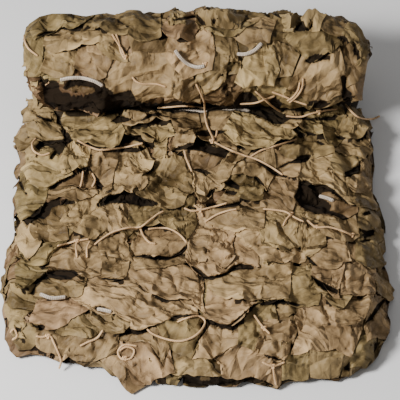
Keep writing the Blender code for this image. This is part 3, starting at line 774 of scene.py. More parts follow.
shownRoll = [
    (0.35, 0.1, [(44, 36), (20, 34, 3), (22, 46, 3), (24, 60, 3), (20, 76, 3), (44, 76)]),
    (-0.3, 0.55, [(72, 78), (66, 90, 4), (72, 94, 5), (84, 92, 5), (98, 91, 5), (112, 94, 5), (104, 80)]),
    (0.55, 0.5, [(120, 54), (104, 82, 5), (112, 93, 8), (140, 102, 8), (176, 101, 8), (202, 101, 8),
        (198, 80, 4), (184, 54)]),
    (0.6, 0.35, [(50, 44), (39, 72, 6), (52, 78, 9), (72, 76, 8), (79, 60, 4), (82, 44)]),
    (0.65, 0.6, [(82, 38), (73, 66, 6), (90, 77, 8), (106, 76, 7), (113, 60, 4), (110, 38)]),
    (0.75, 0.5, [(306, 46), (288, 88, 5), (304, 99, 7), (330, 101, 8), (342, 95, 7), (345, 70, 4),
        (340, 48)]),
    (0.6, 0.3, [(228, 62), (201, 99, 7), (220, 108, 9), (243, 104, 9), (250, 91, 8), (242, 62)]),
    (0.7, 0.3, [(206, 52), (195, 82, 5), (201, 98, 8), (226, 81, 7), (230, 56)]),
    (0.55, 0.35, [(274, 40), (263, 62, 5), (276, 81, 7), (291, 76, 5), (302, 50)]),
    (0.95, 0.2, [(248, 46), (235, 82, 8), (249, 92, 11), (274, 87, 11), (280, 70, 5), (274, 46)]),
    (0.9, 0.3, [(93, 40), (98, 51, 5), (112, 60, 6), (128, 61, 6), (127, 54, 4), (112, 40)]),
    (0.75, 0.65, [(172, 28), (162, 55, 5), (184, 81, 5), (211, 70, 5), (216, 50, 4), (208, 28)]),
    (0.55, 0.4, [(50, 24), (42, 45, 5), (50, 52, 9), (62, 54, 10), (80, 48, 10), (96, 45, 10), (113, 48, 8),
        (118, 34, 4), (106, 22)]),
    (0.6, 0.2, [(298, 20), (285, 38, 6), (309, 61, 12), (325, 53, 10), (342, 46, 7), (334, 22)]),
    (0.6, 0.5, [(246, 22), (233, 38, 5), (252, 48, 7), (271, 43, 5), (277, 20)]),
    (0.45, 0.85, [(172, 14), (162, 33, 7), (180, 41, 8), (193, 43, 7), (202, 30, 4), (200, 14)]),
    (0.55, 0.15, [(210, 12), (205, 30, 5), (216, 35, 6), (236, 38, 7), (244, 30, 5), (259, 20, 4),
        (252, 10)]),
    (0.45, 0.25, [(100, 12), (81, 30, 5), (100, 30, 9), (125, 38, 10), (141, 42, 9), (161, 38, 7),
        (160, 13)]),
    (0.35, 0.1, [(46, 14), (21, 32, 4), (34, 38, 7), (58, 31, 8), (80, 30, 6), (96, 15)]),
    (0.4, 0.4, [(320, 14), (314, 22, 4), (324, 32, 6), (346, 38, 8), (353, 30, 5), (346, 20)]),
    (0.7, 0.2, [(283, 32), (279, 14, 6), (289, 7, 8), (303, 18, 6), (294, 33)]),
    (0.95, 0.3, [(306, 32), (303, 15, 6), (314, 4, 9), (325, 14, 7), (320, 32)]),
    (0.55, 0.3, [(196, 30), (194, 12, 5), (206, 7, 7), (223, 8, 6), (246, 15, 4), (242, 30)]),
    (0.6, 0.2, [(168, 26), (169, 14, 4), (176, 9, 6), (187, 15, 4), (186, 26)]),
    (0.5, 0.2, [(342, 34), (350, 24, 4), (358, 25, 5), (364, 40, 4), (360, 56)]),
    (0.6, 0.2, [(356, 44), (363, 42, 4), (371, 42, 5), (371, 54, 5), (364, 62, 4), (358, 66)]),
]

# The longest folds of the outermost cloth: mm high, pixels wide on the left and on the right of the
# line as it runs, and the line in the picture. A fold that is narrow on one side is a step down to it.
pressedFolds = [
    (-2.0, 8, 4, [(134, 268), (150, 282), (166, 294)]), (-1.2, 2, 3, [(183, 280), (179, 294)]),
    (1.4, 5, 2, [(143, 266), (150, 276), (156, 280), (160, 268), (165, 261)]),
    (-1.5, 5, 3, [(205, 284), (215, 293), (213, 300)]), (1.2, 3, 3, [(232, 332), (234, 346)]),
    (-1.8, 6, 3, [(208, 335), (216, 347), (224, 351)]), (-1.6, 4, 3, [(241, 343), (252, 338), (263, 333)]),
    (1.4, 5, 2, [(252, 351), (258, 343), (264, 336)]), (-1.8, 3, 2, [(164, 366), (166, 357), (168, 350)]),
    (2.0, 10, 2, [(132, 364), (142, 358), (152, 361), (160, 369), (162, 377)]),
    (2.0, 8, 2, [(168, 359), (178, 360), (190, 367), (209, 367), (219, 378)]),
    (1.4, 6, 2, [(193, 361), (203, 362), (213, 359)]),
    (2.0, 8, 2, [(212, 359), (218, 353), (226, 351), (238, 344)]),
    (-1.6, 4, 4, [(262, 268), (280, 275), (300, 279)]), (1.3, 3, 2, [(274, 297), (279, 288), (284, 281)]),
    (-2.0, 3, 3, [(344, 272), (345, 282), (346, 291)]), (-1.5, 3, 2, [(364, 276), (363, 285), (360, 293)]),
    (-1.5, 2, 2, [(326, 311), (328, 318), (330, 323)]),
    (2.0, 5, 2, [(318, 323), (327, 324), (334, 321), (339, 329)]),
    (-2.0, 5, 3, [(338, 327), (350, 328), (361, 326)]),
    (1.4, 5, 2, [(343, 306), (348, 315), (358, 318), (366, 318)]),
    (-1.4, 4, 4, [(326, 330), (334, 337), (345, 340)]), (-1.6, 2, 3, [(342, 342), (346, 348), (352, 354)]),
    (3.0, 10, 4, [(309, 351), (320, 353), (333, 357), (345, 358), (357, 352)]),
    (1.6, 4, 3, [(272, 339), (285, 342), (300, 347)]), (2.2, 6, 2, [(271, 344), (276, 353), (286, 361)]),
    (2.0, 6, 2, [(250, 353), (262, 355), (274, 358), (284, 358)]),
    (1.6, 5, 2, [(288, 360), (298, 357), (308, 353)]), (1.8, 6, 2, [(286, 361), (296, 364), (310, 363)]),
    (2.0, 5, 2, [(362, 345), (370, 341), (379, 339)]), (1.6, 8, 6, [(22, 214), (30, 196), (44, 184)]),
    (-2.2, 6, 4, [(86, 148), (92, 157), (91, 166)]), (-1.6, 4, 4, [(101, 158), (103, 168), (100, 178)]),
    (1.4, 4, 2, [(72, 207), (84, 209), (97, 208)]), (-1.8, 6, 4, [(66, 232), (52, 236), (38, 240)]),
    (1.5, 5, 2, [(60, 256), (66, 262), (70, 271)]), (1.8, 8, 2, [(44, 264), (50, 252), (60, 245)]),
    (-1.6, 4, 4, [(103, 219), (118, 223), (136, 223)]), (-3.0, 8, 6, [(146, 196), (158, 186), (176, 178)]),
    (1.5, 3, 2, [(175, 162), (192, 173), (207, 179), (222, 188)]),
    (1.4, 4, 3, [(160, 214), (170, 206), (176, 200)]), (1.4, 3, 3, [(148, 222), (165, 219), (190, 216)]),
    (1.4, 4, 2, [(178, 228), (196, 220)]), (1.5, 5, 2, [(206, 222), (222, 227), (235, 231)]),
    (2.0, 6, 2, [(235, 233), (246, 243), (254, 248)]), (1.6, 2, 7, [(216, 250), (221, 241), (229, 237)]),
    (1.8, 6, 2, [(241, 250), (238, 256), (248, 263), (258, 268)]),
    (1.2, 3, 3, [(200, 238), (208, 233), (220, 234)]), (-1.5, 4, 4, [(196, 264), (204, 254), (214, 250)]),
    (-1.2, 3, 3, [(208, 264), (225, 258), (245, 255)]), (1.8, 7, 2, [(258, 234), (270, 244), (284, 255)]),
    (-1.5, 4, 3, [(286, 256), (296, 259), (306, 260)]), (1.6, 6, 2, [(290, 226), (288, 235), (282, 240)]),
    (-1.6, 4, 3, [(297, 238), (304, 240), (311, 240)]), (-2.0, 4, 3, [(309, 256), (318, 249), (328, 243)]),
    (1.6, 6, 2, [(338, 240), (345, 243), (350, 254), (352, 262)]),
    (-2.2, 5, 4, [(330, 172), (340, 179), (352, 190)]), (1.6, 4, 2, [(357, 178), (356, 188), (369, 186)]),
    (-1.3, 3, 3, [(268, 180), (284, 182), (298, 184)]), (-1.6, 4, 3, [(262, 226), (275, 224), (288, 223)]),
    (-2.0, 6, 4, [(60, 299), (75, 304), (88, 309)]), (1.5, 3, 8, [(31, 317), (36, 307), (41, 297)]),
    (1.6, 4, 4, [(60, 347), (72, 352), (84, 349), (96, 341)]),
    (-1.8, 5, 4, [(64, 356), (80, 356), (98, 350)]), (1.5, 4, 3, [(48, 305), (60, 312), (78, 315)]),
    (-1.4, 3, 3, [(98, 331), (104, 338), (108, 342)]), (-1.4, 3, 3, [(122, 262), (118, 250), (120, 240)]),
    (1.3, 4, 4, [(139, 305), (150, 309), (164, 307)]), (-1.3, 3, 3, [(138, 295), (134, 304), (128, 310)]),
    (1.5, 7, 3, [(170, 306), (182, 309), (194, 309)]),
    (2.0, 7, 2, [(34, 37), (46, 33), (60, 31), (75, 36), (88, 39)]),
    (-1.6, 4, 4, [(60, 36), (75, 40), (95, 40)]),
    (2.2, 7, 2, [(50, 53), (62, 53), (78, 49), (95, 45), (110, 48)]),
    (1.8, 5, 2, [(38, 60), (52, 57), (64, 54)]), (-2.0, 4, 4, [(52, 68), (66, 71), (80, 70)]),
    (-1.6, 3, 3, [(64, 61), (74, 66), (84, 69), (92, 62)]), (1.8, 5, 2, [(138, 74), (148, 72), (160, 70)]),
    (-1.8, 5, 4, [(136, 78), (150, 80), (166, 78)]),
    (1.5, 4, 3, [(134, 52), (144, 57), (152, 52), (156, 46)]), (2.0, 7, 2, [(163, 33), (174, 38), (190, 42)]),
    (-1.6, 4, 3, [(168, 40), (178, 52), (190, 56)]), (1.6, 4, 2, [(188, 60), (200, 57), (210, 54)]),
    (-1.5, 3, 3, [(204, 75), (214, 84), (220, 76)]), (-1.5, 3, 3, [(221, 60), (228, 66), (236, 62)]),
    (-2.2, 4, 4, [(262, 66), (272, 70), (280, 78)]), (1.6, 4, 2, [(262, 50), (274, 51), (286, 49)]),
    (-1.8, 3, 3, [(288, 54), (286, 66), (284, 76)]), (2.4, 8, 2, [(284, 38), (296, 43), (308, 58)]),
    (-2.0, 5, 5, [(298, 50), (312, 54), (330, 50)]), (2.2, 3, 8, [(296, 40), (310, 34), (325, 33)]),
    (1.4, 4, 2, [(303, 77), (314, 75)]), (-1.5, 4, 3, [(316, 80), (328, 84), (336, 88)]),
    (-1.8, 4, 4, [(60, 122), (74, 120), (88, 122), (100, 118)]),
    (-1.6, 4, 4, [(78, 132), (90, 130), (104, 131)]), (1.5, 5, 2, [(180, 112), (200, 118), (226, 117)]),
    (-1.5, 4, 4, [(250, 118), (262, 126), (278, 131)]), (-1.6, 4, 4, [(30, 122), (44, 126), (56, 132)]),
    (1.6, 4, 2, [(352, 128), (364, 128), (374, 126)]),
    (1.8, 6, 2, [(296, 117), (306, 126), (316, 134), (330, 136)]),
    (-1.4, 3, 3, [(240, 168), (252, 166), (262, 168)]),
]
# Gaps that are sunk and painted black with painted shade: mm deep, and the corners in the picture
darkGaps = [
    (7, [(135, 100), (150, 103), (165, 103), (176, 100), (190, 102), (202, 103), (212, 106), (232, 104),
        (240, 92), (252, 91), (262, 104), (275, 110), (285, 114), (300, 115), (312, 118), (330, 116),
        (340, 114), (335, 121), (320, 121), (300, 120), (290, 120), (282, 125), (272, 124), (262, 118),
        (250, 114), (235, 111), (215, 110), (200, 111), (165, 110), (135, 111), (120, 108), (108, 113),
        (112, 106)]),
    (6, [(62, 88), (68, 81), (78, 79), (90, 80), (104, 86), (114, 91), (112, 96), (100, 91), (88, 87),
        (76, 86), (66, 90)]),
    (6, [(52, 96), (60, 91), (66, 91), (72, 95), (82, 95), (92, 93), (98, 88), (112, 94), (131, 89),
        (137, 100), (125, 107), (112, 114), (100, 115), (90, 113), (80, 110), (72, 109), (66, 112), (58, 110),
        (44, 104), (43, 94)]),
    (6, [(39, 76), (46, 79), (54, 78), (60, 84), (61, 92), (52, 98), (43, 94), (41, 83)]),
    (4, [(209, 96), (222, 87), (229, 82), (228, 87), (216, 93)]),
    (4, [(266, 101), (275, 96), (283, 103), (280, 109), (272, 108)]),
    (4, [(308, 100), (325, 100), (332, 104), (322, 109), (308, 106)]),
    (6, [(340, 76), (346, 74), (347, 88), (352, 92), (354, 100), (347, 104), (341, 98), (342, 88)]),
    (5, [(351, 40), (356, 42), (359, 50), (362, 58), (357, 61), (353, 50)]),
    (5, [(304, 61), (309, 56), (316, 53), (323, 54), (331, 55), (331, 61), (318, 60), (311, 64)]),
    (5, [(293, 30), (301, 22), (303, 16), (306, 26), (315, 25), (309, 31), (298, 32)]),
    (5, [(335, 37), (342, 35), (348, 37), (350, 45), (344, 43)]),
    (4, [(33, 37), (46, 31), (60, 31), (50, 34), (40, 37)]),
    (4, [(80, 33), (87, 25), (97, 28), (113, 37), (104, 34), (92, 28)]),
    (4, [(113, 19), (119, 20), (127, 25), (120, 24)]),
    (5, [(166, 20), (180, 17), (198, 14), (204, 20), (207, 26), (201, 25), (196, 18), (180, 21)]),
    (6, [(138, 122), (148, 114), (158, 112), (164, 116), (152, 117), (144, 121)]),
    (6, [(121, 140), (130, 133), (140, 137), (151, 146), (147, 148), (138, 142), (130, 140)]),
    (6, [(195, 132), (203, 130), (222, 130), (232, 129), (222, 134), (206, 137), (195, 136)]),
    (8, [(170, 152), (178, 147), (190, 142), (203, 143), (218, 147), (234, 147), (229, 152), (226, 159),
        (214, 156), (200, 151), (186, 150), (178, 151)]),
    (4, [(192, 169), (198, 168), (207, 170), (214, 174), (206, 175), (196, 172)]),
    (6, [(224, 184), (231, 179), (240, 185), (240, 191), (229, 187)]),
    (6, [(205, 197), (211, 189), (219, 187), (209, 199)]),
    (6, [(223, 191), (232, 190), (239, 192), (235, 196), (226, 194)]),
    (6, [(200, 204), (215, 203), (225, 205), (244, 200), (238, 207), (222, 209), (208, 208)]),
    (4, [(180, 210), (188, 206), (197, 207), (197, 210), (187, 210)]),
    (5, [(252, 176), (258, 176), (268, 188), (259, 184)]),
    (5, [(250, 156), (260, 160), (272, 168), (289, 177), (284, 178), (272, 175), (264, 168)]),
    (6, [(276, 169), (285, 163), (293, 160), (300, 155), (313, 154), (308, 162), (300, 164), (290, 164),
        (283, 168)]),
    (5, [(280, 143), (287, 139), (296, 141), (292, 145), (284, 145)]),
    (5, [(303, 130), (312, 132), (321, 136), (308, 136)]),
    (4, [(314, 140), (320, 141), (328, 145), (321, 146)]),
    (5, [(334, 137), (341, 135), (348, 138), (342, 141)]),
    (7, [(299, 181), (308, 180), (314, 185), (326, 184), (334, 189), (343, 197), (353, 207), (348, 205),
        (338, 197), (330, 192), (321, 190), (322, 197), (330, 203), (333, 206), (330, 210), (343, 214),
        (351, 219), (344, 221), (336, 217), (328, 214), (316, 215), (310, 212), (304, 209), (301, 207),
        (296, 201), (294, 196), (298, 188)]),
    (5, [(344, 172), (352, 169), (358, 165), (359, 159), (362, 165), (360, 172), (350, 177), (345, 178)]),
    (6, [(360, 236), (368, 230), (375, 228), (374, 236), (366, 238)]),
    (5, [(358, 241), (367, 239), (376, 239), (362, 244)]),
    (5, [(361, 213), (369, 210), (372, 214), (365, 217)]),
    (6, [(305, 256), (309, 256), (320, 267), (314, 266), (309, 262)]),
    (7, [(310, 275), (318, 279), (328, 284), (339, 290), (338, 295), (330, 292), (318, 286)]),
    (7, [(187, 264), (194, 266), (203, 271), (208, 276), (216, 275), (226, 272), (232, 266), (240, 263),
        (252, 265), (256, 268), (252, 271), (240, 270), (231, 273), (222, 278), (212, 281), (204, 279),
        (195, 272)]),
    (6, [(258, 303), (268, 301), (279, 299), (290, 301), (303, 305), (298, 307), (284, 304), (272, 305),
        (262, 306)]),
    (7, [(246, 311), (254, 304), (262, 302), (258, 305), (250, 310), (240, 320), (231, 327), (226, 329),
        (216, 327), (211, 321), (220, 323), (229, 325)]),
    (6, [(124, 333), (130, 328), (138, 331), (147, 328), (150, 332), (140, 335), (130, 335), (122, 338),
        (116, 337)]),
    (5, [(168, 320), (175, 315), (185, 314), (200, 314), (205, 319), (195, 318), (182, 318), (174, 322)]),
    (6, [(176, 379), (186, 376), (195, 379), (218, 381), (236, 381), (238, 386), (210, 387), (190, 387),
        (184, 383)]),
    (6, [(128, 257), (145, 254), (160, 258), (170, 257), (180, 251), (188, 243), (188, 249), (180, 256),
        (168, 261), (155, 261), (142, 258)]),
    (7, [(96, 205), (104, 196), (118, 193), (130, 192), (142, 197), (158, 202), (160, 205), (142, 207),
        (128, 204), (110, 204), (98, 208)]),
    (7, [(22, 220), (30, 216), (36, 210), (45, 203), (58, 200), (75, 200), (76, 204), (60, 206), (52, 208),
        (50, 215), (44, 220), (38, 219), (30, 224), (27, 227)]),
    (6, [(47, 189), (56, 182), (70, 176), (80, 169), (84, 166), (90, 166), (95, 175), (105, 187), (97, 191),
        (96, 184), (91, 172), (84, 171), (74, 178), (60, 185), (54, 190)]),
    (6, [(34, 147), (40, 141), (60, 139), (70, 137), (75, 140), (66, 146), (62, 155), (60, 159), (57, 154),
        (52, 161), (48, 158), (54, 150), (46, 146), (38, 151)]),
    (4, [(100, 150), (112, 148), (140, 147), (150, 148), (138, 153), (120, 153), (104, 153)]),
    (5, [(23, 290), (30, 293), (35, 285), (38, 279), (46, 272), (60, 269), (75, 270), (80, 275), (70, 280),
        (60, 281), (50, 278), (42, 281), (37, 288), (34, 296), (28, 294)]),
    (4, [(17, 181), (22, 181), (25, 190), (31, 196), (26, 196), (21, 188)]),
    (5, [(15, 325), (23, 327), (20, 334), (14, 333)]),
    (5, [(30, 322), (37, 325), (41, 324), (46, 326), (44, 331), (33, 327)]),
    (4, [(100, 277), (122, 279), (122, 282), (102, 280)]),
    (5, [(93, 308), (100, 305), (106, 307), (118, 314), (110, 314), (98, 312)]),
    (4, [(83, 315), (90, 308), (91, 314)]), (5, [(291, 342), (295, 345), (292, 351), (289, 356)]),
    (4, [(262, 353), (275, 356), (288, 362), (280, 361), (268, 359)]),
    (6, [(363, 325), (371, 314), (377, 304), (384, 298), (385, 302), (378, 312), (372, 321)]),
    (5, [(342, 371), (349, 360), (352, 366), (350, 371)]),
    (6, [(34, 109), (38, 115), (45, 117), (57, 120), (50, 123), (37, 118)]),
    (5, [(60, 130), (64, 127), (70, 134), (73, 141), (64, 138)]),
    (5, [(110, 121), (118, 115), (128, 117), (134, 119), (128, 122), (116, 124)]),
    (5, [(199, 325), (207, 318), (213, 322), (206, 332), (200, 340), (195, 350), (191, 359), (196, 341),
        (203, 331)]),
]
# The outline of the bundle in the picture: cloth that strays past it is turned in
outline = [
    (20, 33), (30, 25), (40, 18), (52, 15), (70, 15), (85, 18), (95, 16), (115, 13), (130, 11), (145, 12),
    (158, 15), (168, 13), (176, 8), (184, 14), (193, 12), (198, 7), (210, 6), (222, 7), (231, 10), (240, 11),
    (258, 11), (263, 8), (275, 5), (282, 8), (289, 6), (296, 9), (303, 12), (308, 6), (314, 2), (321, 7),
    (326, 13), (339, 14), (347, 22), (355, 24), (361, 31), (364, 40), (371, 42), (371, 54), (366, 61),
    (363, 80), (361, 90), (361, 105), (359, 113), (365, 120), (377, 125), (370, 134), (368, 144), (372, 150),
    (368, 156), (369, 164), (373, 166), (371, 180), (371, 198), (378, 207), (381, 216), (384, 224),
    (384, 245), (386, 258), (389, 262), (388, 280), (392, 285), (397, 293), (392, 299), (388, 301),
    (385, 318), (389, 322), (388, 332), (384, 340), (377, 341), (377, 355), (373, 360), (366, 367),
    (352, 368), (350, 375), (341, 376), (338, 380), (325, 378), (310, 377), (305, 380), (285, 380),
    (277, 388), (268, 385), (255, 383), (252, 380), (238, 381), (236, 385), (210, 386), (184, 386),
    (177, 392), (168, 387), (160, 391), (149, 386), (140, 390), (131, 396), (115, 378), (98, 360), (90, 361),
    (85, 366), (78, 362), (60, 361), (46, 355), (40, 354), (35, 350), (28, 353), (17, 356), (11, 350),
    (10, 341), (6, 339), (7, 325), (3, 311), (6, 300), (8, 296), (1, 292), (5, 285), (0, 279), (10, 272),
    (5, 268), (8, 250), (16, 240), (15, 215), (16, 205), (10, 196), (12, 188), (17, 178), (15, 173),
    (20, 168), (22, 160), (26, 155), (12, 145), (10, 140), (20, 135), (25, 138), (22, 130), (17, 118),
    (15, 113), (22, 112), (28, 105), (24, 103), (24, 98), (20, 95), (24, 90), (27, 88), (26, 82), (22, 80),
    (20, 76), (17, 70), (21, 70), (21, 62), (24, 55), (24, 46), (20, 38),
]
# How far the left end is drawn out in the picture: the row, and pixels
leftReach = [
    (0, 4), (60, 10), (100, 9), (140, 13), (160, 10), (200, 11), (280, 15), (330, 10), (370, 3),
]
leftFade = (65, 40, 1.5)  # from this pixel leftwards, over this many, and how it grows
drawnLook = {
    "step": 0.5,  # pixels between the places where the folds and gaps are worked out
    "rise": 1.9,  # how much higher than said
    "sharp": 1.4,
    "rim": (0.4, 1.6),  # pixels around a gap where it starts, and over which it gets deep and fully painted with shade
    "stray": 1.5,  # pixels that cloth may stray past the outline
}
drawnSize = int(cameraLook["picture"] / drawnLook["step"])


def nearestOnLine(px, py, line):
    # how far each place is from a line, on which side (above 0 on the right), and the nearest spot on it
    best = np.full(px.shape, np.inf)
    side, nearX, nearY = (np.zeros(px.shape) for _ in range(3))
    for (ax, ay), (bx, by) in zip(line, line[1:]):
        dx, dy = bx - ax, by - ay
        t = np.clip(((px - ax) * dx + (py - ay) * dy) / (dx * dx + dy * dy), 0, 1)
        awayX, awayY = px - ax - t * dx, py - ay - t * dy
        far = np.hypot(awayX, awayY)
        nearer = far < best
        best = np.where(nearer, far, best)
        side = np.where(nearer, dx * awayY - dy * awayX, side)
        nearX, nearY = np.where(nearer, px - awayX, nearX), np.where(nearer, py - awayY, nearY)
    return best, side, nearX, nearY


def insideOf(px, py, corners):
    inside = np.zeros(px.shape, bool)
    for (ax, ay), (bx, by) in zip(corners, corners[1:] + corners[:1]):
        if ay != by:
            inside ^= ((ay > py) != (by > py)) & (px < (bx - ax) * (py - ay) / (by - ay) + ax)
    return inside


def drawnAround(corners, margin):
    # the places worked out around some corners, and which part of the drawing they are
    step = drawnLook["step"]
    part = []
    for values in zip(*corners):
        part.append(slice(max(int((min(values) - margin) / step), 0),
                          min(int((max(values) + margin) / step) + 2, drawnSize)))
    px, py = np.meshgrid(*(np.arange(one.start, one.stop) * step for one in part), indexing="ij")
    return px, py, tuple(part)


def drawFoldsAndGaps():
    # dark: how much painted shade each place gets in a gap
    rise, dark = np.zeros((drawnSize, drawnSize)), np.zeros((drawnSize, drawnSize))
    for height, left, right, line in pressedFolds:
        px, py, part = drawnAround(line, max(left, right))
        far, side, _, _ = nearestOnLine(px, py, line)
        slope = np.clip(1 - far / np.where(side > 0, right, left), 0, 1) ** drawnLook["sharp"]
        rise[part] += drawnLook["rise"] * height * slope
    start, reach = drawnLook["rim"]
    for depth, corners in darkGaps:
        px, py, part = drawnAround(corners, 1)
        far = nearestOnLine(px, py, corners + corners[:1])[0]
        share = np.where(insideOf(px, py, corners), np.clip((far + start) / reach, 0, 1), 0)
        rise[part] = np.minimum(rise[part], rise[part] * (1 - share) - depth * share)
        dark[part] = np.maximum(dark[part], share)
    return rise / 1000, dark


def leftward(px, py):
    # how many pixels the cloth near the left end is drawn out
    start, reach, growth = leftFade
    return np.interp(py, *zip(*leftReach)) * np.clip((start - px) / reach, 0, 1) ** growth


def foldAndTuck(world):
    # folds and gaps move the cloth towards the camera or away, and the gaps also give their painted shade;
    # what strays past the outline is turned in
    px, py, pixel = pictureSpot(world)
    out = leftward(px, py)
    world = world - np.array((1, 0, 0)) * (out * pixel)[:, None]
    px = px - out
    rise, gap = (gridValue(drawing, px / drawnLook["step"], py / drawnLook["step"]) for drawing in drawings)
    world = world + np.array(toCamera) * rise[:, None]
    outside = np.nonzero(~insideOf(px, py, outline))[0]
    far, _, nearX, nearY = nearestOnLine(px[outside], py[outside], outline + outline[:1])
    share = 1 - drawnLook["stray"] * np.tanh(far / drawnLook["stray"]) / np.maximum(far, 1e-6)
    moveX, moveY = (nearX - px[outside]) * share, (nearY - py[outside]) * share
    world[outside, 0] += moveX * pixel[outside]
    world[outside, 1] += np.maximum(-moveY, 0) * pixel[outside] / math.sin(tilt)
    world[outside, 2] -= np.maximum(moveY, 0) * pixel[outside] / math.cos(tilt)
    return world, gap, rise


drawings = drawFoldsAndGaps()
shownCut = {
    "step": 0.0022,
    "slope": 1.0,  # how steeply cloth falls where nothing is under it
    "reach": 9,  # steps of the bed that it falls over
    "low": 3.6,  # mm that corners stand up less than said
    "least": 0.4,  # and the least that they stand up
    "rootUp": 1,  # mm, as corners that don't say
    "tries": 12,  # to find where cloth at the left end is drawn out from
    "steepest": 0.35,
    "clear": 0.0015,  # how far above the bed it starts at least
    "bend": 1.4,  # how a leaf rises from its root to its tip
    "pinned": 0.0020,  # a corner that stands up more than this stays up
    "knots": (0.15, 0.5, 0.85),
    "knot": 0.003,
    "knotHeight": 0.002,
    "tied": 0.4,
    "tie": ((0.3, 0.7), (0.3, 0.6)),
    "pleats": 0.6,
    "folds": (3, 6),
    "foldHeight": (0.0026, 0.0056),
    "full": 0.035,  # shorter leaves have lower folds
    "highest": 0.023,  # a tip beyond the bundle's outline stands up no more than this
    "rootHighest": 0.001,
}
shownSettling = {"gather": 0.03, "frames": 8}


def coverBed(bed):
    # heights that fall away gently from everything on the bed, as cloth over it would
    heights = bed["heights"].copy()
    fall = bedStep * shownCut["slope"]
    for _ in range(shownCut["reach"]):
        heights = np.maximum(heights, np.maximum.reduce(neighbours(heights)) - fall)
    bed["smooth"] = np.maximum((heights + meanAround(heights)) / 2, bed["heights"])
    x, s = np.meshgrid(bed["xs"], bed["ss"], indexing="ij")
    bed["grid"] = bed["place"](x, s, bed["smooth"])
    faces = gridFaces(len(bed["xs"]), len(bed["ss"]))
    bed["tree"] = BVHTree.FromPolygons(bed["grid"].reshape(-1, 3).tolist(), faces.tolist())


def bedSpot(bed, px, py, up, depth, limit):
    # x, s and height on the bed of what shows at a place of the picture and stands this far up
    inner = px
    for _ in range(shownCut["tries"]):
        inner = px + float(leftward(inner, py))
    eye, ray = sightLine(inner, py)
    spot, _, face, _ = bed["tree"].ray_cast(eye, ray)
    missed = spot is None
    if missed:
        lifted = np.array(eye + ray * depth)
        spot, _, face, _ = bed["tree"].find_nearest(eye + ray * depth)
        way = lifted - np.array(spot)
        far = np.linalg.norm(way)
        lifted = np.array(spot) + way * min(limit / far, 1)
    i, j = divmod(face, len(bed["ss"]) - 1)
    corner = bed["grid"][i, j]
    alongX, alongS = bed["grid"][i + 1, j] - corner, bed["grid"][i, j + 1] - corner
    normal = np.cross(alongX, alongS)
    normal /= np.linalg.norm(normal)
    if missed:
        up = float((lifted - np.array(spot)) @ normal)
    else:
        facing = max(float(normal @ np.array(toCamera)), shownCut["steepest"])
        lifted = np.array(spot) + np.array(toCamera) * up / facing
    off = lifted - corner
    x = bed["xs"][i] + bedStep * (off @ alongX) / (alongX @ alongX)
    s = bed["ss"][j] + bedStep * (off @ alongS) / (alongS @ alongS)
    return x, s, up


def fillLine(points, counts):
    # points evenly along each stretch of a line
    made = [a + (b - a) * np.linspace(0, 1, count, endpoint=False)[:, None]
            for a, b, count in zip(points, points[1:], counts)]
    return np.vstack([*made, points[-1:]])


def leafSpots(bed, corners):
    # a leaf's corners on the bed
    depths = [bed["tree"].ray_cast(*sightLine(*corner[:2]))[3] for corner in corners]
    nearest = min(depth for depth in depths if depth is not None)
    spots = []
    for corner in corners:
        px, py, up = (*corner, shownCut["rootUp"])[:3]
        rise = max(up - shownCut["low"], shownCut["least"]) / 1000
        limit = shownCut["highest"] if up > shownCut["rootUp"] else shownCut["rootHighest"]
        spots.append(bedSpot(bed, px, py, rise, nearest, limit))
    return np.array(spots)


def alongLeaf(x, s, root):
    # how far across and down from its root's middle the points of a leaf are
    middle, side = root[:, :2].mean(0), root[1, :2] - root[0, :2]
    side /= np.linalg.norm(side)
    across = (x - middle[0]) * side[0] + (s - middle[1]) * side[1]
    down = (x - middle[0]) * side[1] - (s - middle[1]) * side[0]
    return across, -down if down.mean() < 0 else down


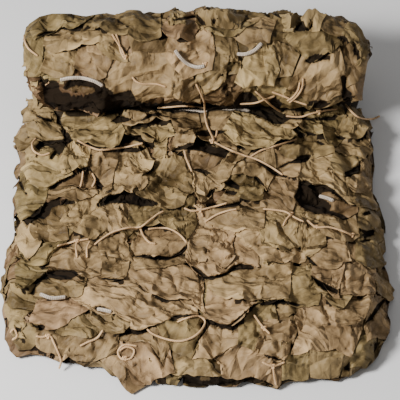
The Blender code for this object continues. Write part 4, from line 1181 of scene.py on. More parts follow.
def shapeLeaf(chance, bed, tone, tint, corners):
    # a leaf with these corners in the picture, between its root and its cut edge
    spots = leafSpots(bed, corners)
    root, tip = spots[[0, -1]], spots[1:-1]
    gaps = np.linalg.norm(np.diff(tip[:, :2], axis=0), axis=1)
    counts = np.maximum(np.round(gaps / shownCut["step"]), 1).astype(int)
    tipLine = fillLine(tip, counts)
    share = np.concatenate([[0], np.cumsum(np.repeat(gaps / counts, counts))]) / gaps.sum()
    rootLine = root[0] + (root[1] - root[0]) * share[:, None]
    length = float(np.linalg.norm((tipLine - rootLine)[:, :2], axis=1).mean())
    rows = max(int(length / shownCut["step"]), 4)
    t = np.linspace(0, 1, rows + 1)[None, :, None]
    flat = rootLine[:, None, :2] * (1 - t) + tipLine[:, None, :2] * t
    x, s = flat[..., 0], flat[..., 1]
    bend = t[..., 0] ** shownCut["bend"]
    up = rootLine[:, None, 2] * (1 - bend) + tipLine[:, None, 2] * bend
    across, down = alongLeaf(x, s, root)
    knots = [(int(place * (len(share) - 1)), 0) for place in shownCut["knots"]]
    if chance.random() < shownCut["tied"]:
        place, drop = (chance.uniform(*limits) for limits in shownCut["tie"])
        knots.append((int(place * (len(share) - 1)), int(drop * rows)))
    knots = [(across[knot], down[knot]) for knot in knots]
    bumps = foldLines(chance, across, down, float(gaps.sum()), length, shownCut)
    bumps += softLumps(chance, across, down, *leafCut["lumps"])
    for knot in knots:
        bumps += shownCut["pleats"] * knotFolds(chance, across, down, knot)
    bumps *= min(length / shownCut["full"], 1)
    height = bedHeight(bed, x, s, "smooth") + shownCut["clear"] + up + bumps
    height = np.maximum(height, bedHeight(bed, x, s) + shownCut["clear"])
    points = np.stack([x, s, height], axis=-1).reshape(-1, 3)
    cloth = np.stack([across, down], axis=-1).reshape(-1, 2)
    pinned = []
    for knot in knots:
        near = nearKnot(cloth, knot, shownCut["knot"])
        ground = bedHeight(bed, *points[near, :2].T, "smooth")
        points[near, 2] = np.minimum(points[near, 2], ground + shownCut["knotHeight"])
        pinned += near.tolist()
    for high, count in zip(tip[:, 2], np.concatenate([[0], np.cumsum(counts)])):
        if high > shownCut["pinned"]:
            pinned.append(int(count) * (rows + 1) + rows)
    faces = gridFaces(len(share), rows + 1)[:, ::-1]
    return {"points": points, "faces": faces, "cloth": cloth, "pinned": pinned, "tone": tone, "tint": tint}


def inLayers(leaves):
    # leaves that don't lie over each other settle together
    boxes, found = [], []
    for leaf in leaves:
        px, py = zip(*(corner[:2] for corner in leaf[2]))
        box = (min(px) - 1, max(px) + 1, min(py) - 1, max(py) + 1)
        over = [level for other, level in boxes if other[0] < box[1] and other[1] > box[0]
                and other[2] < box[3] and other[3] > box[2]]
        level = max(over) + 1 if over else 0
        boxes.append((box, level))
        found += [[]] * (level + 1 - len(found))
        found[level] = found[level] + [leaf]
    return found


def layShown(name, bed, chance, leaves):
    placed = []
    for group in inLayers(leaves):
        coverBed(bed)
        batch = [shapeLeaf(chance, bed, *leaf) for leaf in group]
        layCloth(bed, batch, **shownSettling)
        placed += batch
    keepLeaves(name, bed, placed)


padBed = makeBed(padPlace, {
    "length": 0.372,
    "floor": -stackTop + bundle["cloth"],
    "seed": 1.0,
    "roundFront": True,
    # where along s the crevice gets painted shade, from none to full
    "shade": (bundle["creviceRun"], bundle["creviceRun"] + 0.012),
    "nearest": -0.018,
    "overhang": 0.034,
})
rollBed = makeBed(rollPlace, {
    "length": 0.262,
    "floor": -0.026,
    "seed": 4.0,
    "roundFront": False,
    # where along s the roll's underside gets painted shade, from none to full
    "shade": (0.020, 0.006),
    "nearest": 0.012,
    "overhang": 0.020,
})
# The ends that stand out: their height, their length, and from where to where they do on each side
padRims = {
    "levels": (-0.019, -0.009),
    "length": 0.030,
    "spans": {"Left": (0.035, 0.36), "Right": (0.035, 0.36), "Front": (-0.150, 0.165)},
}
rollRims = {
    "levels": (-0.014, -0.004),
    "length": 0.022,
    "spans": {"Left": (0.03, 0.24), "Right": (0.03, 0.24)},
}

chance = random.Random(11)
for label in padRims["spans"]:
    rimRow(f"leafRow{label}", f"leaf_row_{label.lower()}", padBed, chance, label, padRims)
for number, (root, length) in enumerate(padRows, 1):
    leafRow(f"leafRowPad{number}", f"leaf_row_pad_{number}", padBed, chance, root, 0, length, rowBehind)
for label, leaves in shownPad.items():
    layShown(f"topLeaves{label}", padBed, chance, leaves)
for label in rollRims["spans"]:
    rimRow(f"rollEnd{label}", None, rollBed, chance, label, rollRims)
for number, (root, length, heading) in rollRows.items():
    behind = bridgeBehind if number == bridgingRow else rowBehind
    leafRow(f"leafRowRoll{number}", f"leaf_row_roll_{number}", rollBed, chance, root, heading, length, behind)
layShown("topLeavesRoll", rollBed, chance, shownRoll)
for bed in (padBed, rollBed):
    bed["around"] = bed["heights"]
    for _ in range(bedLook["evened"]):
        bed["around"] = meanAround(bed["around"])

leafLook = {
    "thickness": 0.0005,
    "sharp": 62,  # degrees from which an edge looks like one
    "lowest": 0.0005,
    "top": 0.149,  # leaves above this lean back
    "topRoom": 0.008,  # and stay below this much more
    "patternTurn": (0.7, 7.3, 3),
    "patternStep": (0.2, 0.3),
    "covered": (0.0015, 0.006),  # how far under other cloth it gets painted shade, and over how much
    # how far across from the middle the crevice is painted with shade, and over how much it fades out
    "creviceHalf": (0.178, 0.015),
    "raised": (0.003, 0.25),  # the height of a fold, and how much painted light the cloth gets there, with painted shade in troughs
    # how high a bulge over the evened bed is, and how much painted light it gets, with painted shade in
    # hollows
    "bulged": (0.006, 0.18),
}


def finishSheet(name, points, faces, cloth, values, thickness):
    # a mesh object of cloth with its flat pattern as UVs, its values at each point, and its thickness
    made = meshObject(name, points, faces)
    addPattern(made.data, cloth)
    for label, value in values.items():
        layer = made.data.attributes.new(label, "FLOAT", "POINT")
        layer.data.foreach_set("value", np.asarray(value, np.float32))
    shell = made.modifiers.new("Cloth", "SOLIDIFY")
    shell.thickness = thickness
    shell.offset = 0
    bpy.context.view_layer.objects.active = made
    bpy.ops.object.modifier_apply(modifier=shell.name)
    made.data.shade_smooth()
    made.data.set_sharp_from_angle(angle=math.radians(leafLook["sharp"]))
    return made


def patternPlace(leaf, order, number):
    # a leaf's flat pattern, turned and moved so that no two leaves have the same
    most, byOrder, byNumber = leafLook["patternTurn"]
    turn = most * math.sin(byOrder * order + byNumber * number)
    turned = np.array(((math.cos(turn), math.sin(turn)), (-math.sin(turn), math.cos(turn))))
    stepX, stepY = leafLook["patternStep"]
    return leaf["cloth"] @ turned + np.array([stepX * order, stepY * number])


def darkness(bed, points):
    # how far each point is painted with shade, under other cloth or in the crevice
    margin, reach = leafLook["covered"]
    paintedShade = np.clip((bedHeight(bed, points[:, 0], points[:, 1]) - points[:, 2] - margin) / reach, 0, 1)
    shade = np.clip((points[:, 1] - bed["shade"][0]) / (bed["shade"][1] - bed["shade"][0]), 0, 1)
    half, reach = leafLook["creviceHalf"]
    return np.maximum(paintedShade, shade * np.clip((half - np.abs(points[:, 0])) / reach, 0, 1))


def paintedLightAndShade(height, name):
    # painted light where the cloth stands up, painted shade where it sinks
    full, share = leafLook[name]
    return np.clip(height / full, -1, 1) * share


def joinLeaves(piece, number):
    # one object of a piece's leaves
    bed, placed = piece["bed"], piece["placed"]
    points, faces, _ = stackLeaves(placed)
    cloth = np.vstack([patternPlace(leaf, order, number) for order, leaf in enumerate(placed)])
    counts = [len(leaf["points"]) for leaf in placed]
    tone, tint = (np.repeat([leaf[name] for leaf in placed], counts) for name in ("tone", "tint"))
    world, gap, rise = foldAndTuck(bed["place"](*points.T))
    # painted shade: under other cloth, in the crevice and in the dark gaps
    paintedShade = np.maximum(darkness(bed, points), gap)
    bulge = points[:, 2] - bedHeight(bed, points[:, 0], points[:, 1], "around")
    # tone takes painted light on fold ridges and bulges, and painted shade in troughs, gaps and hollows
    tone = tone + paintedLightAndShade(rise, "raised") + paintedLightAndShade(bulge, "bulged")
    world[:, 2] = np.maximum(world[:, 2], leafLook["lowest"])
    high = np.maximum(world[:, 2] - leafLook["top"], 0)
    back = (high - leafLook["topRoom"] * np.tanh(high / leafLook["topRoom"])) / toCamera[2]
    world -= np.array(toCamera) * back[:, None]
    values = {"tone": tone, "tint": tint, "paintedShade": paintedShade}
    made = finishSheet(piece["name"], world, faces, cloth, values, leafLook["thickness"])
    piece["area"] = quadArea(world, faces)
    if piece["node"]:
        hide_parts(piece["node"])
    return made


leafObjects = [joinLeaves(piece, number) for number, piece in enumerate(leafPieces)]


# The folded and rolled garnish cloth under the leaves
foldedCloth = {
    "turns": (1.60, 1.47, 1.47, 1.22, 1.22),
    "fronts": (0.008, 0.008, 0.003, 0.003, -0.004),
    "flatStep": 0.012,
    "windStep": 10,
    "pressed": 2.6,  # half turns after which the roll isn't pressed any more
    "inner": 0.78,  # share of the half width with wide steps
    "outer": 0.18,  # and of the finer steps outside it
    "steps": 9,
    "rim": (0.8, 0.2),  # where the torn edge starts, and its width
    "tears": (0.008, 0.03),
    "tearWays": (-0.3, 0.1, 1.0),
    "tearDepth": (0.5, 1),
    "ragged": 0.010,
    "ruffle": 0.0022,
    "ruffleWaves": (190, 61, 43, 30),  # fine ones, what bends them, and what gathers them along and across
    "ruffleBend": 2.2,
    "foldPoints": 8,
    "lowest": 0.0007,
    "tone": 0.4,
    "thickness": 0.0009,
}


def layerLine(index):
    # one layer's middle from its front to its inner end: y, z and the way out of the stack
    depth = bundle["cloth"] / 2 + index * bundle["pitch"]
    front = bundle["frontY"] + foldedCloth["fronts"][index]
    steps = int((bundle["rollY"] - front) / foldedCloth["flatStep"])
    y = np.linspace(front, bundle["rollY"], steps, endpoint=False)
    depth = depth * (1 - bundle["padPress"] / stackTop)
    flat = np.stack([y, np.full(steps, depth), np.zeros(steps), -np.ones(steps)], axis=-1)
    angles = np.arange(0, foldedCloth["turns"][index] * 360 + 1, foldedCloth["windStep"])
    fade = np.clip(foldedCloth["pressed"] - angles / 180, 0, 1)
    pressed = np.clip(angles / 90, 0, 1) * fade * bundle["rollPress"]
    windY, windZ = rollPoint(angles / 360, -depth - pressed)
    around = np.radians(angles)
    wind = np.stack([windY, windZ, np.sin(around), -np.cos(around)], axis=-1)
    return np.vstack([flat, wind])


def foldArc(start, end, out):
    # round fold between two layers; out is the way it bulges
    middle, arm = (start[:2] + end[:2]) / 2, (start[:2] - end[:2]) / 2
    reach = np.array(out) / np.linalg.norm(out) * np.linalg.norm(arm)
    points = []
    for angle in np.linspace(0, math.pi, foldedCloth["foldPoints"])[1:-1]:
        point = middle + arm * math.cos(angle) + reach * math.sin(angle)
        facing = point - middle
        points.append([*point, *(facing / np.linalg.norm(facing) * (1 if start[3] * arm[1] > 0 else -1))])
    return np.array(points)


def foldedLine():
    line = layerLine(0)[::-1]
    for index in range(1, bundle["layers"]):
        following = layerLine(index)
        if index % 2 == 0:
            following = following[::-1]
        along = line[-1][:2] - line[-2][:2]
        line = np.vstack([line, foldArc(line[-1], following[0], along), following])
    return line


def tornEdge(chance, run):
    # how far the cloth goes past its width, along its length
    places, reach = [0.0], [0.0]
    while places[-1] < run[-1]:
        places.append(places[-1] + chance.uniform(*foldedCloth["tears"]))
        tear = chance.choice(foldedCloth["tearWays"]) * chance.uniform(*foldedCloth["tearDepth"])
        reach.append(tear * foldedCloth["ragged"])
    return np.interp(run, places, reach)


def makeFoldedCloth():
    chance = random.Random(5)
    line = foldedLine()
    steps = np.linalg.norm(np.diff(line[:, :2], axis=0), axis=-1)
    run = np.concatenate([[0], np.cumsum(steps)])
    inner, count = foldedCloth["inner"], foldedCloth["steps"]
    start, reach = foldedCloth["rim"]
    fine, bending, along, across = foldedCloth["ruffleWaves"]
    outer = 1 - np.linspace(0, foldedCloth["outer"], count)[1:]
    shares = np.concatenate([[-1], -outer, np.linspace(-inner, inner, count), outer[::-1], [1]])
    edges = {side: tornEdge(chance, run) for side in (-1, 1)}
    x = np.zeros((len(line), len(shares)))
    out = np.zeros_like(x)
    for column, share in enumerate(shares):
        side = 1 if share > 0 else -1
        rim = np.clip((abs(share) - start) / reach, 0, 1)
        x[:, column] = share * (bundle["width"] / 2) + side * edges[side] * rim
        bend = foldedCloth["ruffleBend"] * np.sin(run * bending)
        ruffles = np.sin(run * fine + side * 2 + bend) * np.sin(run * along + share * across)
        out[:, column] = foldedCloth["ruffle"] * rim * ruffles
    y = line[:, 0:1] + line[:, 2:3] * out
    z = np.maximum(line[:, 1:2] + line[:, 3:4] * out, foldedCloth["lowest"])
    points = settle(x, y, z).reshape(-1, 3)
    cloth = np.stack([x, np.repeat(run[:, None], len(shares), axis=1)], axis=-1).reshape(-1, 2)
    values = {"tone": np.full(len(points), foldedCloth["tone"])}
    faces = gridFaces(len(line), len(shares))
    made = finishSheet("garnishCloth", points, faces, cloth, values, foldedCloth["thickness"])
    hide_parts("garnish_cloth")
    report(f"garnishCloth: {len(points)} points, {run[-1]:.2f} m long")
    return made, float(run[-1])


garnish, garnishLength = makeFoldedCloth()


def treeOf(pieces):
    points, faces = [], []
    for piece in pieces:
        offset = len(points)
        points += meshPoints(piece.data).tolist()
        faces += [[index + offset for index in face.vertices] for face in piece.data.polygons]
    return BVHTree.FromPolygons(points, faces)


def smoothPath(points, gap):
    # a curve through the points, with a point every gap
    points = np.array(points, float)
    if len(points) < 3:
        points = np.vstack([points[0], points.mean(0), points[-1]])
    ends = np.vstack([2 * points[0] - points[1], points, 2 * points[-1] - points[-2]])
    made = []
    for i in range(1, len(ends) - 2):
        a, b, c, d = ends[i - 1:i + 3]
        count = max(int(np.linalg.norm(c - b) / gap), 1)
        t = (np.arange(count) / count)[:, None]
        bent, turned = 2 * a - 5 * b + 4 * c - d, 3 * b - a - 3 * c + d
        made.append(0.5 * (2 * b + (c - a) * t + bent * t**2 + turned * t**3))
    return np.vstack([*made, points[-1:]])


def tube(path, radius, sides=8, taper=0.5):
    # points, faces and flat pattern of a round cord along a path, closed at its ends
    path = np.asarray(path, float)
    count = len(path)
    along = np.gradient(path, axis=0)
    along /= np.maximum(np.linalg.norm(along, axis=1), 1e-9)[:, None]
    angles = np.linspace(0, 2 * math.pi, sides, endpoint=False)
    cosines, sines = np.cos(angles)[:, None], np.sin(angles)[:, None]
    size = np.full(count, radius)
    size[0] = size[-1] = radius * taper
    normal = np.cross(along[0], (0.3, 0.2, 1.0))
    rings = []
    for middle, direction, wide in zip(path, along, size):
        normal = normal - direction * normal.dot(direction)
        normal /= np.linalg.norm(normal)
        rings.append(middle + wide * (cosines * normal + sines * np.cross(direction, normal)))
    points = np.vstack([*rings, path[:1], path[-1:]])
    faces = []
    for i in range(count - 1):
        for j in range(sides):
            k = (j + 1) % sides
            faces.append((i * sides + j, i * sides + k, (i + 1) * sides + k, (i + 1) * sides + j))
    first, last = count * sides, count * sides + 1
    faces += [(first, (j + 1) % sides, j) for j in range(sides)]
    end = (count - 1) * sides
    faces += [(last, end + j, end + (j + 1) % sides) for j in range(sides)]
    run = np.concatenate([[0], np.cumsum(np.linalg.norm(np.diff(path, axis=0), axis=1))])
    ring = np.stack([np.repeat(run, sides), np.tile(angles * radius, count)], axis=-1)
    pattern = np.vstack([ring, [[0, 0], [run[-1], 0]]])
    return points, faces, pattern


knotLook = {"points": 34, "loops": 1.6, "thick": 1.1}


def knotPath(centre, facing, size):
    # a small overhand knot pulled tight
    turn = Vector(facing).to_track_quat("Z", "Y").to_matrix()
    t, loops = np.linspace(0, 2 * math.pi, knotLook["points"]), knotLook["loops"]
    x, y = np.sin(t) + loops * np.sin(2 * t), np.cos(t) - loops * np.cos(2 * t)
    path = np.stack([x, y, -knotLook["thick"] * np.sin(3 * t)], axis=-1)
    return np.array(centre) + (path * size / (1 + loops)) @ np.array(turn).T


def cordObject(name, tubes):
    faces, offset = [], 0
    for points, tubeFaces, _ in tubes:
        faces += [tuple(index + offset for index in face) for face in tubeFaces]
        offset += len(points)
    made = meshObject(name, np.vstack([points for points, _, _ in tubes]), faces)
    addPattern(made.data, np.vstack([pattern for _, _, pattern in tubes]))
    made.data.shade_smooth()
    return made


def sliding(values, window, choose):
    # what choose makes of each value and those around it
    wide = np.pad(values, window, mode="edge")
    return np.array([choose(wide[i:i + 2 * window + 1]) for i in range(len(values))])


def layOnCloth(tree, spots, radius, window=4, sink=0.25):
    # where a cord lies that shows at these places of the picture: on the cloth, and straight over its gaps
    depths, rays = [], []
    for px, py in smoothPath(spots, 1.0):
        eye, ray = sightLine(px, py)
        hit = tree.ray_cast(eye, ray)[3]
        depths.append(np.nan if hit is None else hit)
        rays.append(np.array(ray))
    depths = np.array(depths)
    found = np.nonzero(~np.isnan(depths))[0]
    depths = np.interp(np.arange(len(depths)), found, depths[found])
    level = sliding(sliding(depths, window, np.min), window, np.mean)
    level = np.minimum(level, depths) - radius * (1 - sink)
    return np.array(camera.location) + np.array(rays) * level[:, None]


# Tan ties at the places where they show in the picture
tieLook = {"radius": 0.00125, "knot": 0.0026, "sides": 7, "taper": 0.9}
ties = [
    [(24, 35), (25, 42), (29, 49), (38, 56)], [(112, 34), (117, 42), (122, 50), (125, 57)],
    [(116, 34), (119, 43), (121, 52), (124, 57)], [(132, 77), (137, 82), (145, 84), (156, 84), (166, 87)],
    [(196, 84), (200, 92), (204, 102), (205, 115), (207, 125), (212, 136), (214, 142)],
    [(217, 130), (216, 136), (212, 141)], [(255, 91), (263, 98), (272, 106), (281, 112)],
    [(272, 92), (283, 96), (295, 101), (307, 105)], [(303, 78), (302, 88), (297, 96), (289, 103)],
    [(300, 82), (298, 90), (293, 97), (287, 101)],
    [(286, 116), (300, 117), (310, 114), (319, 112), (328, 110), (337, 109)],
    [(345, 104), (352, 112), (360, 118), (372, 119), (380, 116)],
    [(157, 108), (170, 107), (186, 106), (205, 108)], [(240, 104), (255, 103), (266, 99), (275, 96)],
    [(77, 140), (88, 146), (100, 150), (112, 149), (127, 147), (143, 143)],
    [(36, 138), (32, 144), (34, 151), (42, 155), (50, 153)], [(83, 171), (82, 180), (80, 188)],
    [(92, 173), (95, 180), (92, 187)], [(184, 150), (186, 158), (189, 165), (192, 172)],
    [(214, 142), (228, 149), (243, 155), (258, 160), (271, 167), (283, 175)],
    [(250, 157), (262, 150), (275, 146), (288, 142), (297, 139)],
    [(184, 208), (192, 211), (200, 210), (213, 207), (227, 203)], [(194, 205), (200, 210), (203, 217)],
    [(205, 222), (216, 215), (227, 211), (237, 209)],
    [(94, 245), (103, 238), (113, 232), (127, 228), (140, 227), (150, 220), (158, 214), (164, 211)],
    [(57, 246), (66, 244), (76, 241), (89, 239)], [(77, 241), (76, 248), (77, 258)],
    [(90, 241), (87, 248), (87, 258)], [(148, 229), (160, 228), (170, 229), (180, 235), (187, 243)],
    [(140, 227), (143, 235), (149, 242), (156, 244)],
    [(263, 209), (275, 210), (286, 212), (294, 217), (304, 222)], [(291, 214), (286, 220), (283, 226)],
    [(307, 220), (316, 227), (328, 227), (340, 230), (352, 235)],
    [(147, 329), (153, 334), (166, 339), (180, 341), (193, 337), (202, 329), (205, 321), (198, 316),
        (187, 318), (177, 322)],
    [(254, 315), (259, 322), (264, 328), (270, 334)],
    [(36, 336), (42, 337), (50, 336), (54, 343), (58, 352), (61, 361), (59, 369)],
    [(80, 346), (88, 342), (97, 338), (103, 330)],
    [(118, 352), (126, 347), (134, 350), (131, 358), (122, 359), (118, 352), (124, 345), (137, 346)],
    [(262, 362), (273, 366), (285, 362)], [(273, 366), (274, 375), (276, 385)],
    [(10, 333), (14, 329), (17, 336), (12, 340)],
]
knots = [
    (125, 57), (319, 112), (200, 210), (140, 227), (291, 214), (316, 227), (48, 336), (273, 366), (212, 141),
    (77, 241), (125, 358), (352, 235), (205, 64), (264, 328),
]
# Flecked cord where it shows on the leaves
fleckedLook = {"radius": 0.0024, "sides": 12}
fleckedStretches = [
    [(175, 50), (180, 57), (188, 64), (197, 67), (205, 66)], [(237, 54), (246, 54), (255, 50), (262, 43)],
    [(60, 80), (70, 78), (82, 78), (94, 81), (103, 86)], [(319, 196), (327, 198), (334, 201)],
    [(40, 294), (52, 298), (66, 297)], [(97, 309), (104, 310), (112, 312)],
]
# And in the crevice, where it runs in shallow waves
edgeLook = {
    "radius": 0.00225,
    "start": -0.095,
    "length": 0.16,
    "y": 0.146,
    "wander": 0.002,
    "halfWaves": 5,
    "clear": 0.0007,
    "raised": 0.002,
    "points": 60,
}


def makeCords():
    tree = treeOf(leafObjects + [garnish])
    radius, sides = tieLook["radius"], tieLook["sides"]
    tubes = [tube(layOnCloth(tree, spots, radius), radius) for spots in ties]
    for px, py in knots:
        centre = layOnCloth(tree, [(px - 1, py), (px, py), (px + 1, py)], radius)[1]
        tubes.append(tube(knotPath(centre, toCamera, tieLook["knot"]), radius, sides, tieLook["taper"]))
    tied = cordObject("tanTies", tubes)
    radius, sides = fleckedLook["radius"], fleckedLook["sides"]
    tubes = [tube(layOnCloth(tree, spots, radius), radius, sides) for spots in fleckedStretches]
    flecked = cordObject("fleckedStretches", tubes)
    radius, length = edgeLook["radius"], edgeLook["length"]
    x = np.linspace(edgeLook["start"], edgeLook["start"] + length, edgeLook["points"])
    y = edgeLook["y"] + edgeLook["wander"] * np.sin(edgeLook["halfWaves"] * math.pi * (x - x[0]) / length)
    route = settle(x, y, np.full(len(x), stackTop + edgeLook["clear"] + radius + edgeLook["raised"]))
    inCrevice = cordObject("edgeCord", [tube(route, radius, sides)])
    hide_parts("edge_cord")
    report(f"cords: {len(ties)} ties, {len(fleckedStretches) + 1} flecked stretches")
    return tied, flecked, inCrevice


tanTies, fleckedPieces, edgeCord = makeCords()

# The knotted carrier net over the outer layer
netLook = {
    "side": 0.081,
    "margin": 0.004,
    "height": 0.0026,
    "points": 28,
    "fewest": 5,
    "radius": 0.0011,
    "knot": 0.0024,
    "knotRadius": 0.0010,
    "knotFacing": (0, -0.2, 1),
    "sides": 6,
    "taper": 0.9,
}


def netStrands(place, start, length):
    # one strand for each side of a mesh, and the knots
    reach, half = bundle["width"] / 2 - netLook["margin"], netLook["side"] / math.sqrt(2)
    share = np.linspace(0, 1, netLook["points"])[:, None]
    middle = start + length / 2
    cells = int(reach / half) + 2
    spots = [(i, j) for i in range(-cells, cells + 1) for j in range(-cells, cells + 1) if (i + j) % 2 == 0]
    tubes = []
    for i, j in spots:
        knot = np.array((i * half, middle + j * half))
        for way in (-1, 1):
            end = knot + np.array((way * half, half))
            line = knot + (end - knot) * share
            line = line[(np.abs(line[:, 0]) < reach) & (line[:, 1] > start) & (line[:, 1] < start + length)]
            if len(line) >= netLook["fewest"]:
                strand = place(line[:, 0], line[:, 1], np.full(len(line), netLook["height"]))
                tubes.append(tube(strand, netLook["radius"], netLook["sides"]))
        if abs(knot[0]) < reach and start < knot[1] < start + length:
            spot = place(*(np.array([value]) for value in (*knot, netLook["height"])))[0]
            path = knotPath(spot, netLook["knotFacing"], netLook["knot"])
            tubes.append(tube(path, netLook["knotRadius"], netLook["sides"], netLook["taper"]))
    return tubes


nets = []
for place, label, start, length in ((padPlace, "Pad", 0.014, 0.346), (rollPlace, "Roll", 0.018, 0.232)):
    nets.append(cordObject(f"carrierNet{label}", netStrands(place, start, length)))
    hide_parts(f"carrier_net_{label.lower()}")


class Flow:
    # a shader socket that takes part in sums
    def __init__(self, tree, socket):
        self.tree = tree
        self.socket = socket

    def node(self, kind, settings=None, inputs=None, output=0):
        made = self.tree.nodes.new(kind)
        setAll(made, settings or {})
        for label, value in (inputs or {}).items():
            socket = made.inputs[label]
            if isinstance(value, Flow):
                self.tree.links.new(value.socket, socket)
            else:
                socket.default_value = value
        return Flow(self.tree, made.outputs[output])

    def maths(self, operation, other=None, swap=False, clamp=False):
        values = [other, self] if swap else [self, other]
        inputs = {n: value for n, value in enumerate(values) if value is not None}
        return self.node("ShaderNodeMath", {"operation": operation, "use_clamp": clamp}, inputs)

    def __add__(self, other):
        return self.maths("ADD", other)

    def __radd__(self, other):
        return self.maths("ADD", other)

    def __sub__(self, other):
        return self.maths("SUBTRACT", other)

    def __rsub__(self, other):
        return self.maths("SUBTRACT", other, swap=True)

    def __mul__(self, other):
        return self.maths("MULTIPLY", other)

    def __rmul__(self, other):
        return self.maths("MULTIPLY", other)

    def __pow__(self, other):
        return self.maths("POWER", other)

    def clamped(self):
        return self.maths("ADD", 0.0, clamp=True)

    def mix(self, first, second):
        return self.node("ShaderNodeMix", {"data_type": "RGBA"}, {0: self, 6: first, 7: second}, output=2)

    def between(self, low, high, newLow, newHigh):
        inputs = {0: self, 1: low, 2: high, 3: newLow, 4: newHigh}
        return self.node("ShaderNodeMapRange", {"clamp": True}, inputs)


def newMaterial(name):
    made = bpy.data.materials.new(name)
    made.use_nodes = True
    tree = made.node_tree
    shader = tree.nodes["Principled BSDF"]
    return made, shader, Flow(tree, None)


def plug(flow, shader, label):
    flow.tree.links.new(flow.socket, shader.inputs[label])


def relief(height):
    return height.node("ShaderNodeBump", {}, {"Height": height, "Strength": 1.0, "Distance": 0.001})


# How fine each pattern is: the scale of its texture
patternScale = {
    "cloud": 22.0, "spots": 95.0, "wander": 30.0, "creases": 36.0, "fineCreases": 75.0, "bend": 14.0,
    "grain": 180.0, "threads": 430.0, "patch": 60.0, "fibre": 1400.0,
}


def noise(start, vector, name, detail, output=0, **others):
    inputs = {"Vector": vector, "Scale": patternScale[name], "Detail": detail, **others}
    return start.node("ShaderNodeTexNoise", {}, inputs, output)


def facets(start, vector, name, output=0, **settings):
    inputs = {"Vector": vector, "Scale": patternScale[name]}
    return start.node("ShaderNodeTexVoronoi", settings, inputs, output)


def threads(start, vector, way):
    settings = {"wave_type": "BANDS", "bands_direction": way}
    inputs = {"Vector": vector, "Scale": patternScale["threads"], "Distortion": 1.0}
    return start.node("ShaderNodeTexWave", settings, inputs)


def clothMaterial(name, look):
    made, shader, start = newMaterial(name)
    place = start.node("ShaderNodeTexCoord", output=3)
    flat = start.node("ShaderNodeUVMap", {"uv_map": "flat"})
    tone, tint, paintedShade = (start.node("ShaderNodeAttribute", {"attribute_name": label}, output=2)
                         for label in ("tone", "tint", "paintedShade"))
    cloud = noise(start, place, "cloud", 3.0)
    spots = noise(start, flat, "spots", 4.0, Roughness=0.65)
    wander = noise(start, flat, "wander", 2.0, output=1)
    bent = wander.node("ShaderNodeVectorMath", {"operation": "MULTIPLY_ADD"},
                       {0: wander, 1: (0.014, 0.014, 0.0), 2: flat})
    long = bent.node("ShaderNodeVectorMath", {"operation": "MULTIPLY"}, {0: bent, 1: (0.55, 1.2, 1.0)})
    wide = facets(start, long, "creases", feature="DISTANCE_TO_EDGE")
    tight = facets(start, long, "fineCreases", feature="DISTANCE_TO_EDGE")
    facetLightAndShade = start.node("ShaderNodeSeparateXYZ", {}, {0: facets(start, long, "creases", output=1)})
    bend = noise(start, long, "bend", 1.0, Distortion=0.6)
    # folds is the bump's height, and it also paints shade along the creases and light between them
    folds = wide * 0.7 - tight * 0.22 + (bend - 0.5).maths("ABSOLUTE") * 0.8
    # tone carries painted light and shade of folds and bulges; cloud and spots vary it at random
    blend = tone * 0.7 + cloud.between(0.3, 0.7, -0.12, 0.2) + spots.between(0.35, 0.65, -0.08, 0.14)
    # each crease cell gets painted light or shade of its own, for facets turned to or from the lamp
    blend = (blend + folds.between(0.0, 0.3, -0.14, 0.12) + (facetLightAndShade - 0.5) * 0.3).clamped() ** 1.25
    # where the cloth is painted with shade, its colour is mixed towards a near-black painted shade colour
    paintedShade = paintedShade.between(0.4, 0.6, 0, 1)
    olive = blend.mix((*look["dark"], 1), (*look["light"], 1))
    rosy = blend.mix((*look["rosyDark"], 1), (*look["rosyLight"], 1))
    plug((paintedShade * 0.96).mix(tint.mix(olive, rosy), (*look["paintedShadeColour"], 1)), shader, "Base Color")
    small = noise(start, flat, "grain", 4.0, Roughness=0.6)
    weave = threads(start, flat, "X") * threads(start, flat, "Y")
    height = folds * look["crease"] + small * look["grain"] + weave * look["weave"]
    plug(relief(height), shader, "Normal")
    rough = spots.between(0.3, 0.7, look["rough"] - 0.06, look["rough"] + 0.08)
    plug((rough + paintedShade).clamped(), shader, "Roughness")
    shader.inputs["Sheen Weight"].default_value = look["sheen"]
    shader.inputs["Sheen Roughness"].default_value = 0.4
    shader.inputs["Specular IOR Level"].default_value = look["specular"]
    return made


leafFinish = {
    "dark": (0.052, 0.034, 0.010), "light": (0.46, 0.335, 0.145),
    "rosyDark": (0.084, 0.046, 0.020), "rosyLight": (0.52, 0.325, 0.175), "paintedShadeColour": (0.010, 0.006, 0.003),
    "crease": 21.0, "grain": 0.5, "weave": 0.05, "rough": 0.55, "sheen": 0.0, "specular": 0.15,
}
# The garnish cloth is the same cloth as the leaves, painted much darker: painted shade for where it shows in
# narrow gaps
innerPaintedShadeFinish = {
    **leafFinish, "dark": (0.035, 0.024, 0.013), "light": (0.11, 0.078, 0.045),
    "rosyDark": (0.035, 0.024, 0.013), "rosyLight": (0.11, 0.078, 0.045), "paintedShadeColour": (0.022, 0.015, 0.009),
    "crease": 2.6, "sheen": 0.1, "specular": 0.4,
}
leafCloth = clothMaterial("leafCloth", leafFinish)
innerClothPaintedShade = clothMaterial("innerClothPaintedShade", innerPaintedShadeFinish)
sheetLook = {"width": 0.46, "spare": 1.001}  # the cloth that a row is cut from, and how much is to spare
for made, piece in zip(leafObjects, leafPieces):
    made.data.materials.append(leafCloth)
    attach(made, "root")
    flat = (sheetLook["width"], piece["area"] / sheetLook["width"] * sheetLook["spare"])
garnish.data.materials.append(innerClothPaintedShade)
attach(garnish, "root")


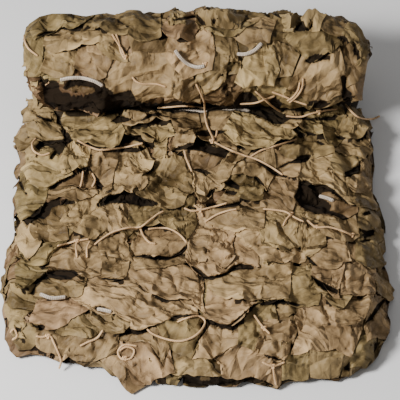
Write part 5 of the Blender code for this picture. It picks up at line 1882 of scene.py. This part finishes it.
def cordMaterial(name, look):
    made, shader, start = newMaterial(name)
    flat = start.node("ShaderNodeUVMap", {"uv_map": "flat"})
    along, around = (start.node("ShaderNodeSeparateXYZ", {}, {0: flat}, output=way) for way in (0, 1))
    lay = (along * look["lay"] + around * look["slant"]).maths("SINE")
    if look["flecks"]:
        lay = lay * (along * look["lay"] - around * look["slant"]).maths("SINE")
        shade = lay.between(-0.15, 0.15, 0, 1)
    else:
        # the tie is darker in the grooves of its lay and lighter on the crests, painted shade and light that
        # follow its bump, with random patches of tone
        patch = noise(start, flat, "patch", 2.0)
        shade = lay.between(-1, 1, 0, 0.5) + patch.between(0.35, 0.65, 0, 0.5)
    plug(shade.mix((*look["dark"], 1), (*look["light"], 1)), shader, "Base Color")
    height = lay * look["relief"] + noise(start, flat, "fibre", 2.0) * 0.2
    plug(relief(height), shader, "Normal")
    shader.inputs["Roughness"].default_value = look["rough"]
    return made


tieFinish = {"lay": 2600.0, "slant": 1500.0, "flecks": False, "rough": 0.6, "relief": 0.08,
             "dark": (0.42, 0.24, 0.105), "light": (0.80, 0.53, 0.28)}
fleckedFinish = {"lay": 1500.0, "slant": 1300.0, "flecks": True, "rough": 0.6, "relief": 0.10,
                 "dark": (0.25, 0.19, 0.14), "light": (0.64, 0.55, 0.44)}
tieCord = cordMaterial("tieCord", tieFinish)
fleckedCord = cordMaterial("fleckedCord", fleckedFinish)
cords = {
    "net_cord": (tieCord, [tanTies, *nets]),
    "edge_cord": (fleckedCord, [fleckedPieces, edgeCord]),
}
for slot, (finish, pieces) in cords.items():
    for piece in pieces:
        piece.data.materials.append(finish)
        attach(piece, "root")


# Floor and light
stageLook = {
    "size": 6,
    "level": -0.0006,
    "floor": (0.82, 0.81, 0.80),
    "floorRough": 0.9,
    "world": 0.30,
    "key": 80.0,
    "keyPlace": (-1.35, -0.75, 1.4),
    "keyTarget": (0.1, 0, 0),
    "keySize": 0.5,
}
bpy.ops.mesh.primitive_plane_add(size=stageLook["size"], location=(0, 0, stageLook["level"]))
floor = bpy.context.active_object
floor.name = "floor"
floorMaterial, floorShader, _ = newMaterial("floorPaint")
floorShader.inputs["Base Color"].default_value = (*stageLook["floor"], 1)
floorShader.inputs["Roughness"].default_value = stageLook["floorRough"]
floor.data.materials.append(floorMaterial)
world = bpy.data.worlds.new("studio")
scene.world = world
world.use_nodes = True
world.node_tree.nodes["Background"].inputs["Color"].default_value = (1, 1, 1, 1)
world.node_tree.nodes["Background"].inputs["Strength"].default_value = stageLook["world"]
light = bpy.data.lights.new("overhead", "AREA")
setAll(light, {"energy": stageLook["key"], "shape": "RECTANGLE", "size": stageLook["keySize"],
               "size_y": stageLook["keySize"]})
overhead = bpy.data.objects.new("overhead", light)
scene.collection.objects.link(overhead)
overhead.location = stageLook["keyPlace"]
facing = Vector(stageLook["keyTarget"]) - Vector(stageLook["keyPlace"])
overhead.rotation_euler = facing.to_track_quat("-Z", "Y").to_euler()

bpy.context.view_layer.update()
report("finishing")
